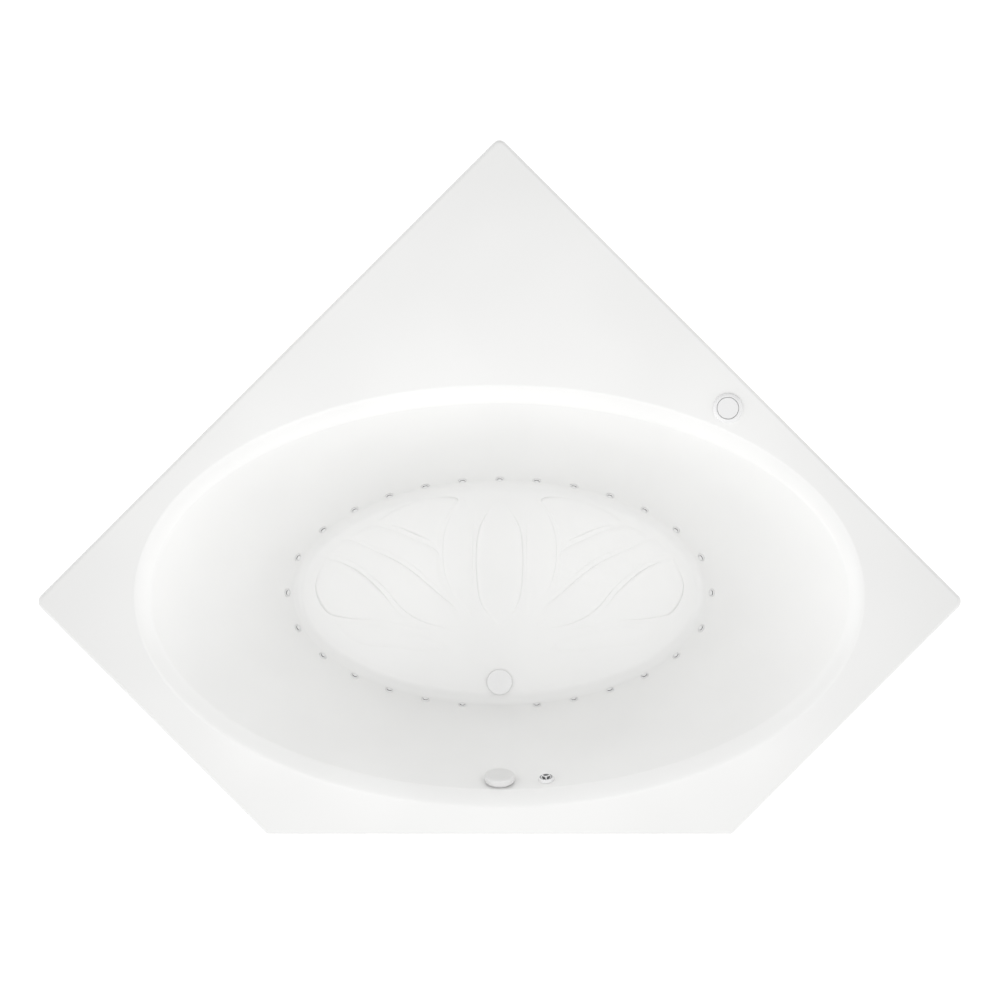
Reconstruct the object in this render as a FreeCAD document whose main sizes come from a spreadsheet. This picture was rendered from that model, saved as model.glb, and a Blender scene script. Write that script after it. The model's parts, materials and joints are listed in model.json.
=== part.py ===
# Drop-in corner bath with air massage: an acrylic shell on a timber base, with its waste and
# overflow set, 27 air injectors fed by a blower, a push control and a swivelling outlet.
#
# Frame: X runs left to right, Y from the front edge towards the back corner, Z up, in
# millimetres. The origin is under the middle of the bath's bounding box, on the floor.
import FreeCAD, Part
import math
import os
import re
import Sketcher

V = FreeCAD.Vector
UP = V(0, 0, 1)
EAST = FreeCAD.Rotation(V(0, 1, 0), 90)
WEST = FreeCAD.Rotation(V(0, 1, 0), -90)
FORWARD = FreeCAD.Rotation(V(1, 0, 0), 90)
doc = FreeCAD.newDocument("CornerBath")

# --- Driving dimensions ----------------------------------------------------------------------
# Each line is one size that can be changed by itself: its name, its value and what it is.
SIZES = [
    ("wall_side", 1524, "length of each of the two sides that stand against a wall"),
    ("corner_cut", 762, "what the slanting front takes off each side of the square"),
    ("overall_height", 584, "floor to the top of the deck"),
    ("lip_depth", 45, "height of the turned-down lip round the deck"),
    ("corner_round", 19, "plan radius of the back, left and right corners"),
    ("front_corner_round", 8, "plan radius of the two front corners"),
    ("edge_round", 9, "rounding of the deck's top edge"),
    ("acrylic", 5, "thickness of the acrylic"),
    ("backing", 4, "thickness of the fibreglass behind it"),
    ("bond_line", 0.3, "gap between bonded or fitted layers"),
    ("well_setback", 551, "front edge to the middle of the oval well"),
    ("floor_level", 127, "floor of the room to the well's floor"),
    ("deck_margin", 86, "least deck between the well's mouth and the slanting sides"),
    ("front_margin", 91, "deck between the well's mouth and the front edge"),
    ("floor_half_long", 490, "half the floor's length, cove left out"),
    ("floor_half_wide", 262, "half the floor's width, cove left out"),
    ("roll_radius", 48, "rounding of the rim between deck and well"),
    ("cove_radius", 35, "rounding between the well's wall and floor"),
    ("board_half_long", 430, "half the base board's length"),
    ("board_half_wide", 205, "half the base board's width"),
    ("board_cut", 110, "corner cut of the base board"),
    ("board_thick", 18, "thickness of the base board and the blower's shelf"),
    ("bearer_width", 45, "width of the base bearers"),
    ("bearer_spread", 230, "centre line to each outer bearer"),
    ("rail_width", 45, "width of the timber rails under the deck"),
    ("rail_height", 38, "height of the timber rails"),
    ("rail_end_gap", 95, "what each rail stops short of its two corners"),
    ("injector_places", 28, "places round the well; the one in front of the waste stays empty"),
    ("injector_height", 29, "floor to the injectors' axes, at the wall"),
    ("injector_flange_radius", 10, "injector flange seen in the bath"),
    ("injector_flange_thick", 2.4, "thickness of that flange"),
    ("injector_shank_radius", 7, "threaded shank through the wall"),
    ("injector_bore", 4, "air bore radius"),
    ("injector_tail_radius", 6, "tail that plugs into the manifold"),
    ("injector_tail_end", 48, "wall face to the tail's end"),
    ("injector_cap_radius", 6, "cap over the air bore"),
    ("injector_slot", 2, "ring-shaped air slot round the cap"),
    ("injector_cap_rise", 0.8, "how far the cap's edge stands out of its flange"),
    ("fitting_seat", 0.6, "bath face to the back of a round fitting's flange"),
    ("gasket_thick", 2, "thickness of the rubber gaskets"),
    ("gasket_margin", 8, "gasket radius less its shank's radius"),
    ("nut_thick", 6, "thickness of the injector nuts"),
    ("hole_clearance", 0.4, "radial play of a shank in its hole"),
    ("thread_clearance", 0.05, "radial play of a nut on its shank"),
    ("running_clearance", 0.05, "radial play of a turning or sliding fit"),
    ("manifold_reach", 55, "wall face to the manifold's centre line"),
    ("manifold_radius", 16, "outer radius of the manifold pipe"),
    ("manifold_wall", 3, "wall of the manifold pipe"),
    ("drain_margin", 46, "front of the well's floor to the waste's axis"),
    ("stopper_radius", 30.5, "radius of the stopper's disc"),
    ("stopper_thick", 3.5, "thickness of the stopper's disc"),
    ("stopper_lift", 10, "height that the stopper rises when open"),
    ("stem_radius", 5, "radius of the stopper's stem"),
    ("waste_flange_radius", 27, "flange on the floor, under the stopper"),
    ("waste_flange_thick", 2.5, "thickness of that flange"),
    ("waste_barrel_radius", 23.5, "threaded barrel through the floor"),
    ("waste_bore", 20, "bore of the waste"),
    ("waste_barrel_length", 36, "floor to the barrel's lower end"),
    ("shoe_radius", 30, "outer radius of the waste shoe"),
    ("shoe_flange_radius", 38, "flange that clamps the gasket"),
    ("shoe_wall", 4, "wall of the shoe, tee and overflow body"),
    ("shoe_bottom", 46, "floor of the room to the shoe's underside"),
    ("outlet_height", 77, "floor of the room to the waste pipe's axis"),
    ("pipe_radius", 19.05, "outer radius of the waste pipes (1 1/2 inch tube)"),
    ("pipe_wall", 2, "wall of the waste pipes"),
    ("tee_setback", 84, "front edge to the overflow pipe's axis"),
    ("tee_half", 36, "half the tee's height"),
    ("slip_nut_radius", 28, "radius of the slip nuts"),
    ("slip_nut_length", 18, "length of the slip nuts"),
    ("tail_clearance", 5, "floor of the room to the tailpiece's lower end"),
    ("lever_arm", 18, "lift lever: pivot to the stem's axis"),
    ("lever_pin_radius", 3, "radius of the lift lever's spindle"),
    ("cable_radius", 2.5, "outer radius of the drive cable"),
    ("overflow_drop", 60, "deck to the overflow's axis, at the wall"),
    ("overflow_hole", 24, "radius of the overflow hole"),
    ("overflow_flange_radius", 29, "clamping flange under the knob"),
    ("overflow_flange_thick", 3, "thickness of that flange"),
    ("knob_radius", 35, "radius of the overflow knob"),
    ("knob_depth", 15, "depth of the knob's skirt"),
    ("knob_gap", 5, "slot between the knob and the wall that takes the overflow"),
    ("knob_wall", 3, "wall of the knob"),
    ("knob_crown", 3, "how far the knob's face swells at its middle"),
    ("spindle_radius", 4, "radius of the knob's spindle"),
    ("overflow_body_radius", 33, "chamber behind the wall"),
    ("overflow_body_depth", 34, "depth of that chamber"),
    ("nozzle_offset", 109, "centre line to the outlet nozzle"),
    ("nozzle_flange_radius", 17.5, "collar of the nozzle"),
    ("nozzle_collar_depth", 9, "depth of the collar"),
    ("nozzle_shank_radius", 14.5, "shank through the wall"),
    ("nozzle_shank_end", 34, "wall face to the shank's end"),
    ("nozzle_inlet_radius", 10.48, "inlet tail (1/2 inch pipe thread)"),
    ("nozzle_inlet_length", 18, "length of the inlet tail"),
    ("nozzle_ball_radius", 13, "radius of the swivelling ball"),
    ("nozzle_ball_height", 4, "wall face to the ball's centre"),
    ("nozzle_rest_tilt", 20, "how far the ball looks up from square, in degrees"),
    ("nozzle_port", 8.5, "radius of the ball's port"),
    ("spoke_width", 2.2, "width of the three spokes across the port"),
    ("control_inset", 71, "right wall side to the push control"),
    ("control_along", 819, "back corner to the push control, along the wall side"),
    ("control_flange_radius", 35, "flange of the control on the deck"),
    ("control_flange_height", 6, "height of that flange"),
    ("control_barrel_radius", 28, "barrel through the deck"),
    ("control_barrel_length", 44, "deck to the barrel's lower end"),
    ("control_face_radius", 24.8, "radius of the push face"),
    ("control_face_gap", 0.9, "gap round the push face"),
    ("control_travel", 4, "travel of the push face"),
    ("plunger_radius", 6, "radius of the plunger under the face"),
    ("barb_radius", 2, "radius of the air tube's barbs"),
    ("air_tube_radius", 3.5, "outer radius of the air tube"),
    ("air_tube_bore", 2.05, "bore of the air tube"),
    ("blower_left", 135, "centre line to the blower's axis"),
    ("blower_setback", 1195, "front edge to the blower's axis"),
    ("blower_radius", 105, "radius of the blower's housing"),
    ("blower_height", 70, "height of the blower's housing"),
    ("blower_wall", 3, "wall of the housing and cover"),
    ("blower_foot_height", 16, "height of the rubber feet"),
    ("blower_foot_radius", 12, "radius of the rubber feet"),
    ("blower_foot_circle", 86, "axis to the feet"),
    ("impeller_radius", 86, "radius of the impeller"),
    ("impeller_height", 34, "height of the impeller's vanes"),
    ("impeller_vanes", 14, "number of vanes"),
    ("shaft_radius", 5, "radius of the motor shaft"),
    ("motor_radius", 46, "radius of the motor"),
    ("motor_height", 82, "height of the motor"),
    ("cover_radius", 66, "radius of the motor cover"),
    ("cover_height", 104, "height of the motor cover"),
    ("cover_rim", 12, "width of the cover's screwed rim"),
    ("cover_slots", 16, "cooling slots round the cover"),
    ("air_pipe_radius", 21.1, "outer radius of the air pipe (1 1/4 inch)"),
    ("air_pipe_wall", 3.5, "wall of the air pipe"),
    ("air_bend_radius", 38, "centre-line radius of the air pipe's bends"),
    ("loop_run", 4, "straight pipe between the loop's two top bends"),
    ("loop_drop", 64, "deck to the axis of the loop's top"),
    ("valve_bottom", 300, "floor of the room to the non-return valve"),
    ("valve_radius", 34, "radius of the valve's housing"),
    ("valve_height", 114, "height of the valve's housing"),
    ("flap_radius", 23, "radius of the valve's flap"),
    ("flap_thick", 3, "thickness of the flap"),
    ("flap_pin_radius", 2, "radius of the flap's hinge pin"),
    ("coupling_length", 30, "length of a pipe coupling"),
    ("coupling_wall", 4, "wall of a pipe coupling"),
]

# Places and sizes that follow from the driving dimensions, as formulas of them.
PLACES = [
    ("half_span", "wall_side / sqrt(2)"),
    ("cut_span", "corner_cut / sqrt(2)"),
    ("corner_loss", "corner_round * (sqrt(2) - 1)"),
    ("deck_depth", "2 * half_span - cut_span"),
    ("back_sharp", "(deck_depth + corner_loss) / 2"),
    ("front_edge", "back_sharp - deck_depth"),
    ("side_level", "back_sharp - half_span"),
    ("well_middle", "front_edge + well_setback"),
    ("well_depth", "overall_height - floor_level"),
    ("back_reach", "back_sharp - well_middle"),
    ("end_reach", "half_span - side_level + well_middle"),
    ("mouth_reach", "min(back_reach; end_reach) - sqrt(2) * deck_margin"),
    ("mouth_half_wide", "well_setback - front_margin"),
    ("mouth_half_long", "sqrt(mouth_reach * mouth_reach - mouth_half_wide * mouth_half_wide)"),
    ("shell_under", "floor_level - acrylic - bond_line - backing"),
    ("deck_under", "overall_height - acrylic - bond_line - backing"),
    ("skin", "acrylic + bond_line + backing"),
    ("long_slope", "(mouth_half_long - floor_half_long) / well_depth"),
    ("wide_slope", "(mouth_half_wide - floor_half_wide) / well_depth"),
    ("long_growth", "sqrt(1 + long_slope * long_slope)"),
    ("wide_growth", "sqrt(1 + wide_slope * wide_slope)"),
    ("board_top", "shell_under - bond_line"),
    ("bearer_top", "board_top - board_thick"),
    ("drain_place", "well_middle - floor_half_wide + drain_margin"),
    ("tee_place", "front_edge + tee_setback"),
    ("control_right", "(control_along - control_inset) / sqrt(2)"),
    ("control_place", "back_sharp - (control_along + control_inset) / sqrt(2)"),
    ("blower_place", "front_edge + blower_setback"),
    ("blower_bottom", "board_top + blower_foot_height"),
    ("blower_top", "blower_bottom + blower_height"),
    ("blower_outlet", "blower_bottom + blower_height / 2"),
    ("riser_place", "blower_place - blower_radius + air_pipe_radius + 4 * blower_wall"),
    ("fall_place", "riser_place - 2 * air_bend_radius - loop_run"),
    ("loop_top", "overall_height - loop_drop"),
]


def linked(formula):
    """The same formula with each name pointed at the sheet that holds it."""
    homes = {name: "Sizes" for name, _, _ in SIZES}
    homes.update({name: "Places" for name, _ in PLACES})
    return re.sub(r"[a-z][a-z_]+", lambda word: (homes[word.group()] + "." + word.group())
                  if word.group() in homes else word.group(), str(formula))


def fill_sheets():
    """Write the driving dimensions and the formulas that follow from them."""
    sizes = doc.addObject("Spreadsheet::Sheet", "Sizes")
    for row, (name, number, meaning) in enumerate(SIZES, start=1):
        sizes.set(f"A{row}", meaning)
        sizes.set(f"B{row}", str(number))
        sizes.setAlias(f"B{row}", name)
    doc.recompute()
    places = doc.addObject("Spreadsheet::Sheet", "Places")
    for row, (name, formula) in enumerate(PLACES, start=1):
        places.setAlias(f"B{row}", name)
    for row, (name, formula) in enumerate(PLACES, start=1):
        places.set(f"B{row}", "=" + linked(formula).replace("Places.", ""))
    doc.recompute()
    values = {name: float(sizes.get(name)) for name, _, _ in SIZES}
    values.update({name: float(places.get(name)) for name, _ in PLACES})
    return values


class Values:
    """The sheets' values, read as size.overall_height and so on."""

    def __init__(self, values):
        self.__dict__.update(values)


size = Values(fill_sheets())
parts = {}


# --- Small tools -------------------------------------------------------------------------------
def keep(thing, label):
    """Name a finished sub-part; its label names its file."""
    thing.Label = label
    parts[label] = thing
    return thing


def bind(thing, **formulas):
    """Tie properties to formulas of the sheets."""
    for prop, formula in formulas.items():
        thing.setExpression(prop, linked(formula))
    return thing


def place(thing, x=0, y=0, z=0):
    """Tie the three parts of a placement to formulas."""
    for axis, formula in zip("xyz", (x, y, z)):
        thing.setExpression("Placement.Base." + axis, linked(formula))
    return thing


def box(name, length, width, height, x=0, y=0, z=0):
    """A box from its low corner."""
    thing = bind(doc.addObject("Part::Box", name), Length=length, Width=width, Height=height)
    return place(thing, x, y, z)


def rod(name, radius, height, x=0, y=0, z=0, turn=None):
    """A cylinder from the centre of its lower face, along Z or turned."""
    thing = bind(doc.addObject("Part::Cylinder", name), Radius=radius, Height=height)
    if turn is not None:
        thing.Placement = FreeCAD.Placement(V(0, 0, 0), turn)
    return place(thing, x, y, z)


def fuse(name, *things):
    thing = doc.addObject("Part::MultiFuse", name)
    thing.Shapes = list(things)
    return thing


def cut(name, base, tool):
    thing = doc.addObject("Part::Cut", name)
    thing.Base = base
    thing.Tool = tool
    return thing


def feature(name, shape, placement=None):
    """A piece whose shape comes from Part's own functions."""
    thing = doc.addObject("Part::Feature", name)
    thing.Shape = shape
    if placement is not None:
        thing.Placement = placement
    return thing


def plane_of(body, role):
    """One of a body's own origin planes."""
    return [item for item in body.Origin.OriginFeatures if item.Role == role][0]


def outline_sketch(body, name, role, points, height=0):
    """A closed outline of straight lines; each corner is tied to two formulas."""
    sketch = body.newObject("Sketcher::SketchObject", name)
    sketch.AttachmentSupport = [(plane_of(body, role), "")]
    sketch.MapMode = "FlatFace"
    sketch.setExpression("AttachmentOffset.Base.z", linked(height))
    count = len(points)
    spots = [V(math.cos(2 * math.pi * i / count), math.sin(2 * math.pi * i / count), 0)
             for i in range(count)]
    for i in range(count):
        sketch.addGeometry(Part.LineSegment(spots[i], spots[(i + 1) % count]), False)
    for i in range(count):
        sketch.addConstraint(Sketcher.Constraint("Coincident", i, 2, (i + 1) % count, 1))
    for i, (across, along) in enumerate(points):
        for kind, formula in (("DistanceX", across), ("DistanceY", along)):
            number = sketch.addConstraint(Sketcher.Constraint(kind, -1, 1, i, 1, 1.0 + i))
            sketch.setExpression(f"Constraints[{number}]", linked(formula))
    return sketch


def turned(name, *corners):
    """A turned piece: its half outline, as (radius, height) formulas, revolved about Z."""
    body = doc.addObject("PartDesign::Body", name)
    sketch = outline_sketch(body, name + "_profile", "XZ_Plane", corners)
    spin = body.newObject("PartDesign::Revolution", name + "_turn")
    spin.Profile = sketch
    spin.ReferenceAxis = (sketch, ["V_Axis"])
    spin.Angle = 360
    return body


def ring(name, inner, outer, low, high):
    """A plain turned ring."""
    return turned(name, (inner, low), (outer, low), (outer, high), (inner, high))


def hex_nut(name, flats, bore, low, high):
    """A hexagon nut along Z."""
    block = bind(doc.addObject("Part::Prism", name + "_hex"), Circumradius=f"({flats}) / sqrt(3)",
                 Height=f"({high}) - ({low})")
    place(block, z=low)
    return cut(name, block, rod(name + "_bore", bore, f"({high}) - ({low})", z=low))


def placed(thing, placement):
    """Move a finished piece, its shape unchanged, to a placement."""
    thing.Placement = placement
    return thing


def copies(name, pattern, placements):
    """One node of equal separate solids: a pattern's shape at each placement."""
    doc.recompute()
    solids = []
    for spot in placements:
        solid = pattern.Shape.copy()
        solid.Placement = spot.multiply(solid.Placement)
        solids.append(solid)
    return feature(name, Part.makeCompound(solids))


def bend(start, corner, end):
    """The arc from start to end that is tangent there to the lines through the corner."""
    middle = (start + end) / 2
    rise = corner - middle
    side = (corner - start).Length
    half = (end - start).Length / 2
    radius = side * half / rise.Length
    sagitta = radius * (1 - half / side)
    return Part.Arc(start, middle + rise * (sagitta / rise.Length), end).toShape()


def route(points, radius):
    """A pipe's centre line: straight runs joined by tangent arcs of one radius."""
    edges = []
    here = points[0]
    for before, corner, after in zip(points, points[1:], points[2:]):
        into = (corner - before).normalize()
        out = (after - corner).normalize()
        tangent = radius * math.tan(into.getAngle(out) / 2)
        edges.append(Part.LineSegment(here, corner - into * tangent).toShape())
        here = corner + out * tangent
        edges.append(bend(corner - into * tangent, corner, here))
    edges.append(Part.LineSegment(here, points[-1]).toShape())
    return Part.Wire(edges)


def swept(path, radius):
    """A round bar along a path."""
    first = path.OrderedEdges[0]
    start = first.valueAt(first.FirstParameter)
    along = first.tangentAt(first.FirstParameter)
    if first.Orientation == "Reversed":
        start = first.valueAt(first.LastParameter)
        along = first.tangentAt(first.LastParameter) * -1
    section = Part.Wire([Part.Circle(start, along, radius).toShape()])
    return path.makePipeShell([section], True, False)


def pipe(path, outer, inner):
    """A tube along a path, open at both ends."""
    tube = swept(path, outer).cut(swept(path, inner))
    wanted = math.pi * (outer ** 2 - inner ** 2) * path.Length
    print(f"pipe: volume {tube.Volume / wanted:.4f} of section times length")
    return tube


def through(start, end, radius):
    """A round bar between two points."""
    return Part.makeCylinder(radius, (end - start).Length, start, end - start)


# --- The well's surface ------------------------------------------------------------------------
def wall_point(height, turn):
    """A point of the well's inner wall, at a height and an eccentric angle in radians."""
    rise = height - size.floor_level
    half_long = size.floor_half_long + size.long_slope * rise
    half_wide = size.floor_half_wide + size.wide_slope * rise
    return V(half_long * math.cos(turn), size.well_middle + half_wide * math.sin(turn), height)


def wall_seat(height, turn):
    """Placement on the inner wall: Z square to it into the bath, X level along it."""
    rise = height - size.floor_level
    half_long = size.floor_half_long + size.long_slope * rise
    half_wide = size.floor_half_wide + size.wide_slope * rise
    level = V(-half_long * math.sin(turn), half_wide * math.cos(turn), 0).normalize()
    climb = V(size.long_slope * math.cos(turn), size.wide_slope * math.sin(turn), 1)
    inward = climb.cross(level).normalize()
    return FreeCAD.Placement(wall_point(height, turn),
                             FreeCAD.Rotation(level, inward.cross(level), inward, "ZXY"))


def injector_turns():
    """Eccentric angles at equal steps of arc length, from the back; the front one is left out."""
    height = size.floor_level + size.injector_height
    steps = 2880
    turns = [math.pi / 2 - 2 * math.pi * i / steps for i in range(steps + 1)]
    points = [wall_point(height, turn) for turn in turns]
    run = [0.0]
    for before, after in zip(points, points[1:]):
        run.append(run[-1] + (after - before).Length)
    count = round(size.injector_places)
    chosen = []
    for number in range(count):
        if number != count // 2:
            wanted = run[-1] * number / count
            nearest = min(range(len(run)), key=lambda i: abs(run[i] - wanted))
            chosen.append(turns[nearest])
    return chosen


INJECTOR_SEATS = [wall_seat(size.floor_level + size.injector_height, turn)
                  for turn in injector_turns()]
FITTING_LEVEL = size.overall_height - size.overflow_drop
OVERFLOW_SEAT = wall_seat(FITTING_LEVEL, -math.pi / 2)
NOZZLE_TURN = -math.acos(size.nozzle_offset / (size.floor_half_long + size.long_slope
                                               * (FITTING_LEVEL - size.floor_level)))
NOZZLE_SEAT = wall_seat(FITTING_LEVEL, NOZZLE_TURN)


# --- Shell and backing ---------------------------------------------------------------------------
def deck_outline(inset):
    """The five corners of the deck's outline, moved inwards by a formula."""
    side = f"(half_span - ({inset}) * sqrt(2))"
    front = f"(cut_span - ({inset}) * (sqrt(2) - 1))"
    return [("0", f"back_sharp - ({inset}) * sqrt(2)"),
            ("-" + side, "side_level"),
            ("-" + front, f"front_edge + ({inset})"),
            (front, f"front_edge + ({inset})"),
            (side, "side_level")]


def rounded(body, name, radius, wanted):
    """A PartDesign fillet on the edges of the body that the test picks."""
    doc.recompute()
    tip = body.Tip
    names = [f"Edge{i}" for i, edge in enumerate(tip.Shape.Edges, start=1) if wanted(edge)]
    fillet = body.newObject("PartDesign::Fillet", name)
    fillet.Base = (tip, names)
    bind(fillet, Radius=radius)
    doc.recompute()
    return fillet


def upright(edge):
    ends = [vertex.Point for vertex in edge.Vertexes]
    return len(ends) == 2 and abs((ends[1] - ends[0]).normalize().z) > 0.99


def deck_form(name, inset, low, high, top_round):
    """A plate with the deck's outline, its corners and its top edge rounded."""
    body = doc.addObject("PartDesign::Body", name)
    pad = body.newObject("PartDesign::Pad", name + "_pad")
    pad.Profile = outline_sketch(body, name + "_outline", "XY_Plane", deck_outline(inset), low)
    bind(pad, Length=f"({high}) - ({low})")
    rounded(body, name + "_corners", f"corner_round - ({inset})",
            lambda edge: upright(edge) and edge.Vertexes[0].Y > size.front_edge + size.cut_span / 4)
    rounded(body, name + "_front_corners", f"max(front_corner_round - ({inset}); 1)",
            lambda edge: upright(edge) and edge.Vertexes[0].Y < size.front_edge + size.cut_span / 4)
    top = max(vertex.Z for vertex in body.Shape.Vertexes)
    rounded(body, name + "_edge", top_round,
            lambda edge: min(vertex.Z for vertex in edge.Vertexes) > top - 0.01)
    return body


def level_oval(thing, level, least):
    """Numbers of the closed oval edges of a shape that lie at a level round the well."""
    found = []
    for number, edge in enumerate(thing.Shape.Edges, start=1):
        spread = edge.BoundBox
        centred = abs(spread.Center.x) < 1 and abs(spread.Center.y - size.well_middle) < 30
        if abs(spread.ZMin - level) < 0.05 > abs(spread.ZMax - level) and centred:
            if edge.isClosed() and spread.XLength > least:
                found.append(number)
    return found


def blended(name, base, level, least, radius):
    """Round the oval edge of a thing at a level."""
    doc.recompute()
    fillet = doc.addObject("Part::Fillet", name)
    fillet.Base = base
    fillet.Edges = [(number, radius, radius) for number in level_oval(base, level, least)]
    doc.recompute()
    return fillet


def oval(name, offset, level):
    """The well's section at a level, moved outwards square to the wall by an offset."""
    rise = f"(({level}) - floor_level)"
    ellipse = doc.addObject("Part::Ellipse", name)
    bind(ellipse, MajorRadius=f"floor_half_long + long_slope * {rise} + ({offset}) * long_growth",
         MinorRadius=f"floor_half_wide + wide_slope * {rise} + ({offset}) * wide_growth")
    return place(ellipse, y="well_middle", z=level)


def well_form(name, offset, top):
    """The well as a solid: its wall moved outwards by an offset, its cove rounded."""
    loft = doc.addObject("Part::Loft", name + "_loft")
    bottom = f"floor_level - ({offset})"
    loft.Sections = [oval(name + "_low", offset, bottom), oval(name + "_high", offset, top)]
    loft.Solid = True
    loft.Ruled = True
    doc.recompute()
    level = loft.Shape.BoundBox.ZMin
    return blended(name, loft, level, size.floor_half_long, size.cove_radius
                   + size.floor_level - level)


def layer(name, plate, plate_top, inner, outer):
    """A shell layer: a deck plate and the well's wall between two offsets, rolled rim."""
    middle = f"overall_height - (({inner}) + ({outer})) / 2"
    outside = well_form(name + "_outside", outer, middle)
    inside = well_form(name + "_inside", inner, "overall_height + roll_radius")
    whole = fuse(name + "_joined", plate, outside)
    doc.recompute()
    depth = {offset: size.floor_level - form.Shape.BoundBox.ZMin
             for offset, form in ((inner, inside), (outer, outside))}
    rolled = blended(name + "_under_roll", whole, size.overall_height - depth[outer],
                     2 * size.floor_half_long, size.roll_radius - depth[outer])
    opened = cut(name + "_opened", rolled, inside)
    return blended(name + "_roll", opened, size.overall_height - depth[inner],
                   2 * size.floor_half_long, size.roll_radius - depth[inner])


def bored(seat, radius):
    """A cutter along a fitting's axis, through both layers."""
    reach = 3 * size.skin
    return Part.makeCylinder(radius, 2 * reach, seat.multVec(V(0, 0, -reach)),
                             seat.Rotation.multVec(UP))


def wall_holes():
    """Every hole through the shell and its backing, as one cutter."""
    play = size.hole_clearance
    holes = [bored(seat, size.injector_shank_radius + play) for seat in INJECTOR_SEATS]
    holes.append(bored(OVERFLOW_SEAT, size.overflow_hole))
    holes.append(bored(NOZZLE_SEAT, size.nozzle_shank_radius + play))
    drain = FreeCAD.Placement(V(0, size.drain_place, size.floor_level), FreeCAD.Rotation())
    holes.append(bored(drain, size.waste_barrel_radius + play))
    control = FreeCAD.Placement(V(size.control_right, size.control_place, size.overall_height),
                                FreeCAD.Rotation())
    holes.append(bored(control, size.control_barrel_radius + play))
    return feature("wall_holes", Part.makeCompound(holes))


def make_shell():
    """The acrylic shell with its lip, and the fibreglass backing inside it."""
    holes = wall_holes()
    outer_deck = deck_form("lip_outside", "0", "overall_height - lip_depth", "overall_height",
                           "edge_round")
    inner_deck = deck_form("lip_inside", "acrylic", "overall_height - lip_depth - acrylic",
                           "overall_height - acrylic", "edge_round - acrylic")
    deck = cut("acrylic_deck", outer_deck, inner_deck)
    acrylic = layer("acrylic_well", deck, "overall_height", "0", "acrylic")
    keep(cut("acrylic_cut", acrylic, holes), "acrylic_shell")
    plate = deck_form("backing_deck", "acrylic + bond_line", "deck_under",
                      "deck_under + backing", "edge_round - acrylic - bond_line")
    backing = layer("backing_well", plate, "deck_under + backing", "acrylic + bond_line", "skin")
    keep(cut("backing_cut", backing, holes), "fibreglass_backing")


# --- Timber ----------------------------------------------------------------------------------------
def make_base():
    """The base board under the floor, its bearers and the blower's shelf."""
    long, wide, corner = "board_half_long", "board_half_wide", "board_cut"
    corners = [(f"{long} - {corner}", f"-{wide}"), (long, f"{corner} - {wide}"),
               (long, f"{wide} - {corner}"), (f"{long} - {corner}", wide)]
    corners += [("-(" + across + ")", along) for across, along in reversed(corners)]
    board = doc.addObject("PartDesign::Body", "board_blank")
    pad = board.newObject("PartDesign::Pad", "board_pad")
    pad.Profile = outline_sketch(board, "board_outline", "XY_Plane", corners)
    bind(pad, Length="board_thick")
    place(board, y="well_middle", z="bearer_top")
    notch = rod("board_notch", "shoe_flange_radius + board_thick / 2", "3 * board_thick",
                y="drain_place", z="bearer_top - board_thick")
    keep(cut("board", board, notch), "base_board")
    back = "blower_place + blower_radius + board_thick"
    for label, middle in (("left_bearer", "-bearer_spread"), ("right_bearer", "bearer_spread")):
        front = "well_middle - board_half_wide"
        keep(box(label, "bearer_width", f"({back}) - ({front})", "bearer_top",
                 f"({middle}) - bearer_width / 2", front, 0), label)
    front = "drain_place + shoe_flange_radius + bearer_width"
    keep(box("centre_bearer", "bearer_width", f"({back}) - ({front})", "bearer_top",
             "-bearer_width / 2", front, 0), "centre_bearer")
    shelf = box("shelf", "2 * bearer_spread + bearer_width", "2 * blower_radius + 2 * board_thick",
                "board_thick", "-bearer_spread - bearer_width / 2",
                "blower_place - blower_radius - board_thick", "bearer_top")
    intake = rod("shelf_intake", "motor_radius", "3 * board_thick", "-blower_left",
                 "blower_place", "bearer_top - board_thick")
    keep(cut("blower_shelf", shelf, intake), "blower_shelf")


def make_rails():
    """Five timber rails under the deck, just inside the lip."""
    edge = size.skin + size.rail_width / 2
    corners = {"back": V(0, size.back_sharp, 0), "left": V(-size.half_span, size.side_level, 0),
               "front_left": V(-size.cut_span, size.front_edge, 0),
               "front_right": V(size.cut_span, size.front_edge, 0),
               "right": V(size.half_span, size.side_level, 0)}
    rails = {"back_left_rail": ("left", "back"), "back_right_rail": ("back", "right"),
             "right_end_rail": ("right", "front_right"), "left_end_rail": ("front_left", "left"),
             "front_rail": ("front_right", "front_left")}
    for label, (start, end) in rails.items():
        along = corners[end] - corners[start]
        rail = bind(doc.addObject("Part::Box", label), Width="rail_width", Height="rail_height")
        rail.setExpression("Length", f"{along.Length} - 2 * Sizes.rail_end_gap")
        heading = math.degrees(math.atan2(along.y, along.x))
        along.normalize()
        side = V(along.y, -along.x, 0)
        low = corners[start] + along * size.rail_end_gap + side * (edge - size.rail_width / 2)
        turn = FreeCAD.Rotation(UP, heading)
        spot = low + side * size.rail_width
        spot.z = size.deck_under - size.rail_height
        rail.Placement = FreeCAD.Placement(spot, turn)
        if label == "back_right_rail":
            notch = rod("rail_notch", "1.55 * control_barrel_radius", "rail_height + 2",
                        "control_right", "control_place", "deck_under - rail_height - 1")
            rail = cut("rail_notched", rail, notch)
        keep(rail, label)


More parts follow.
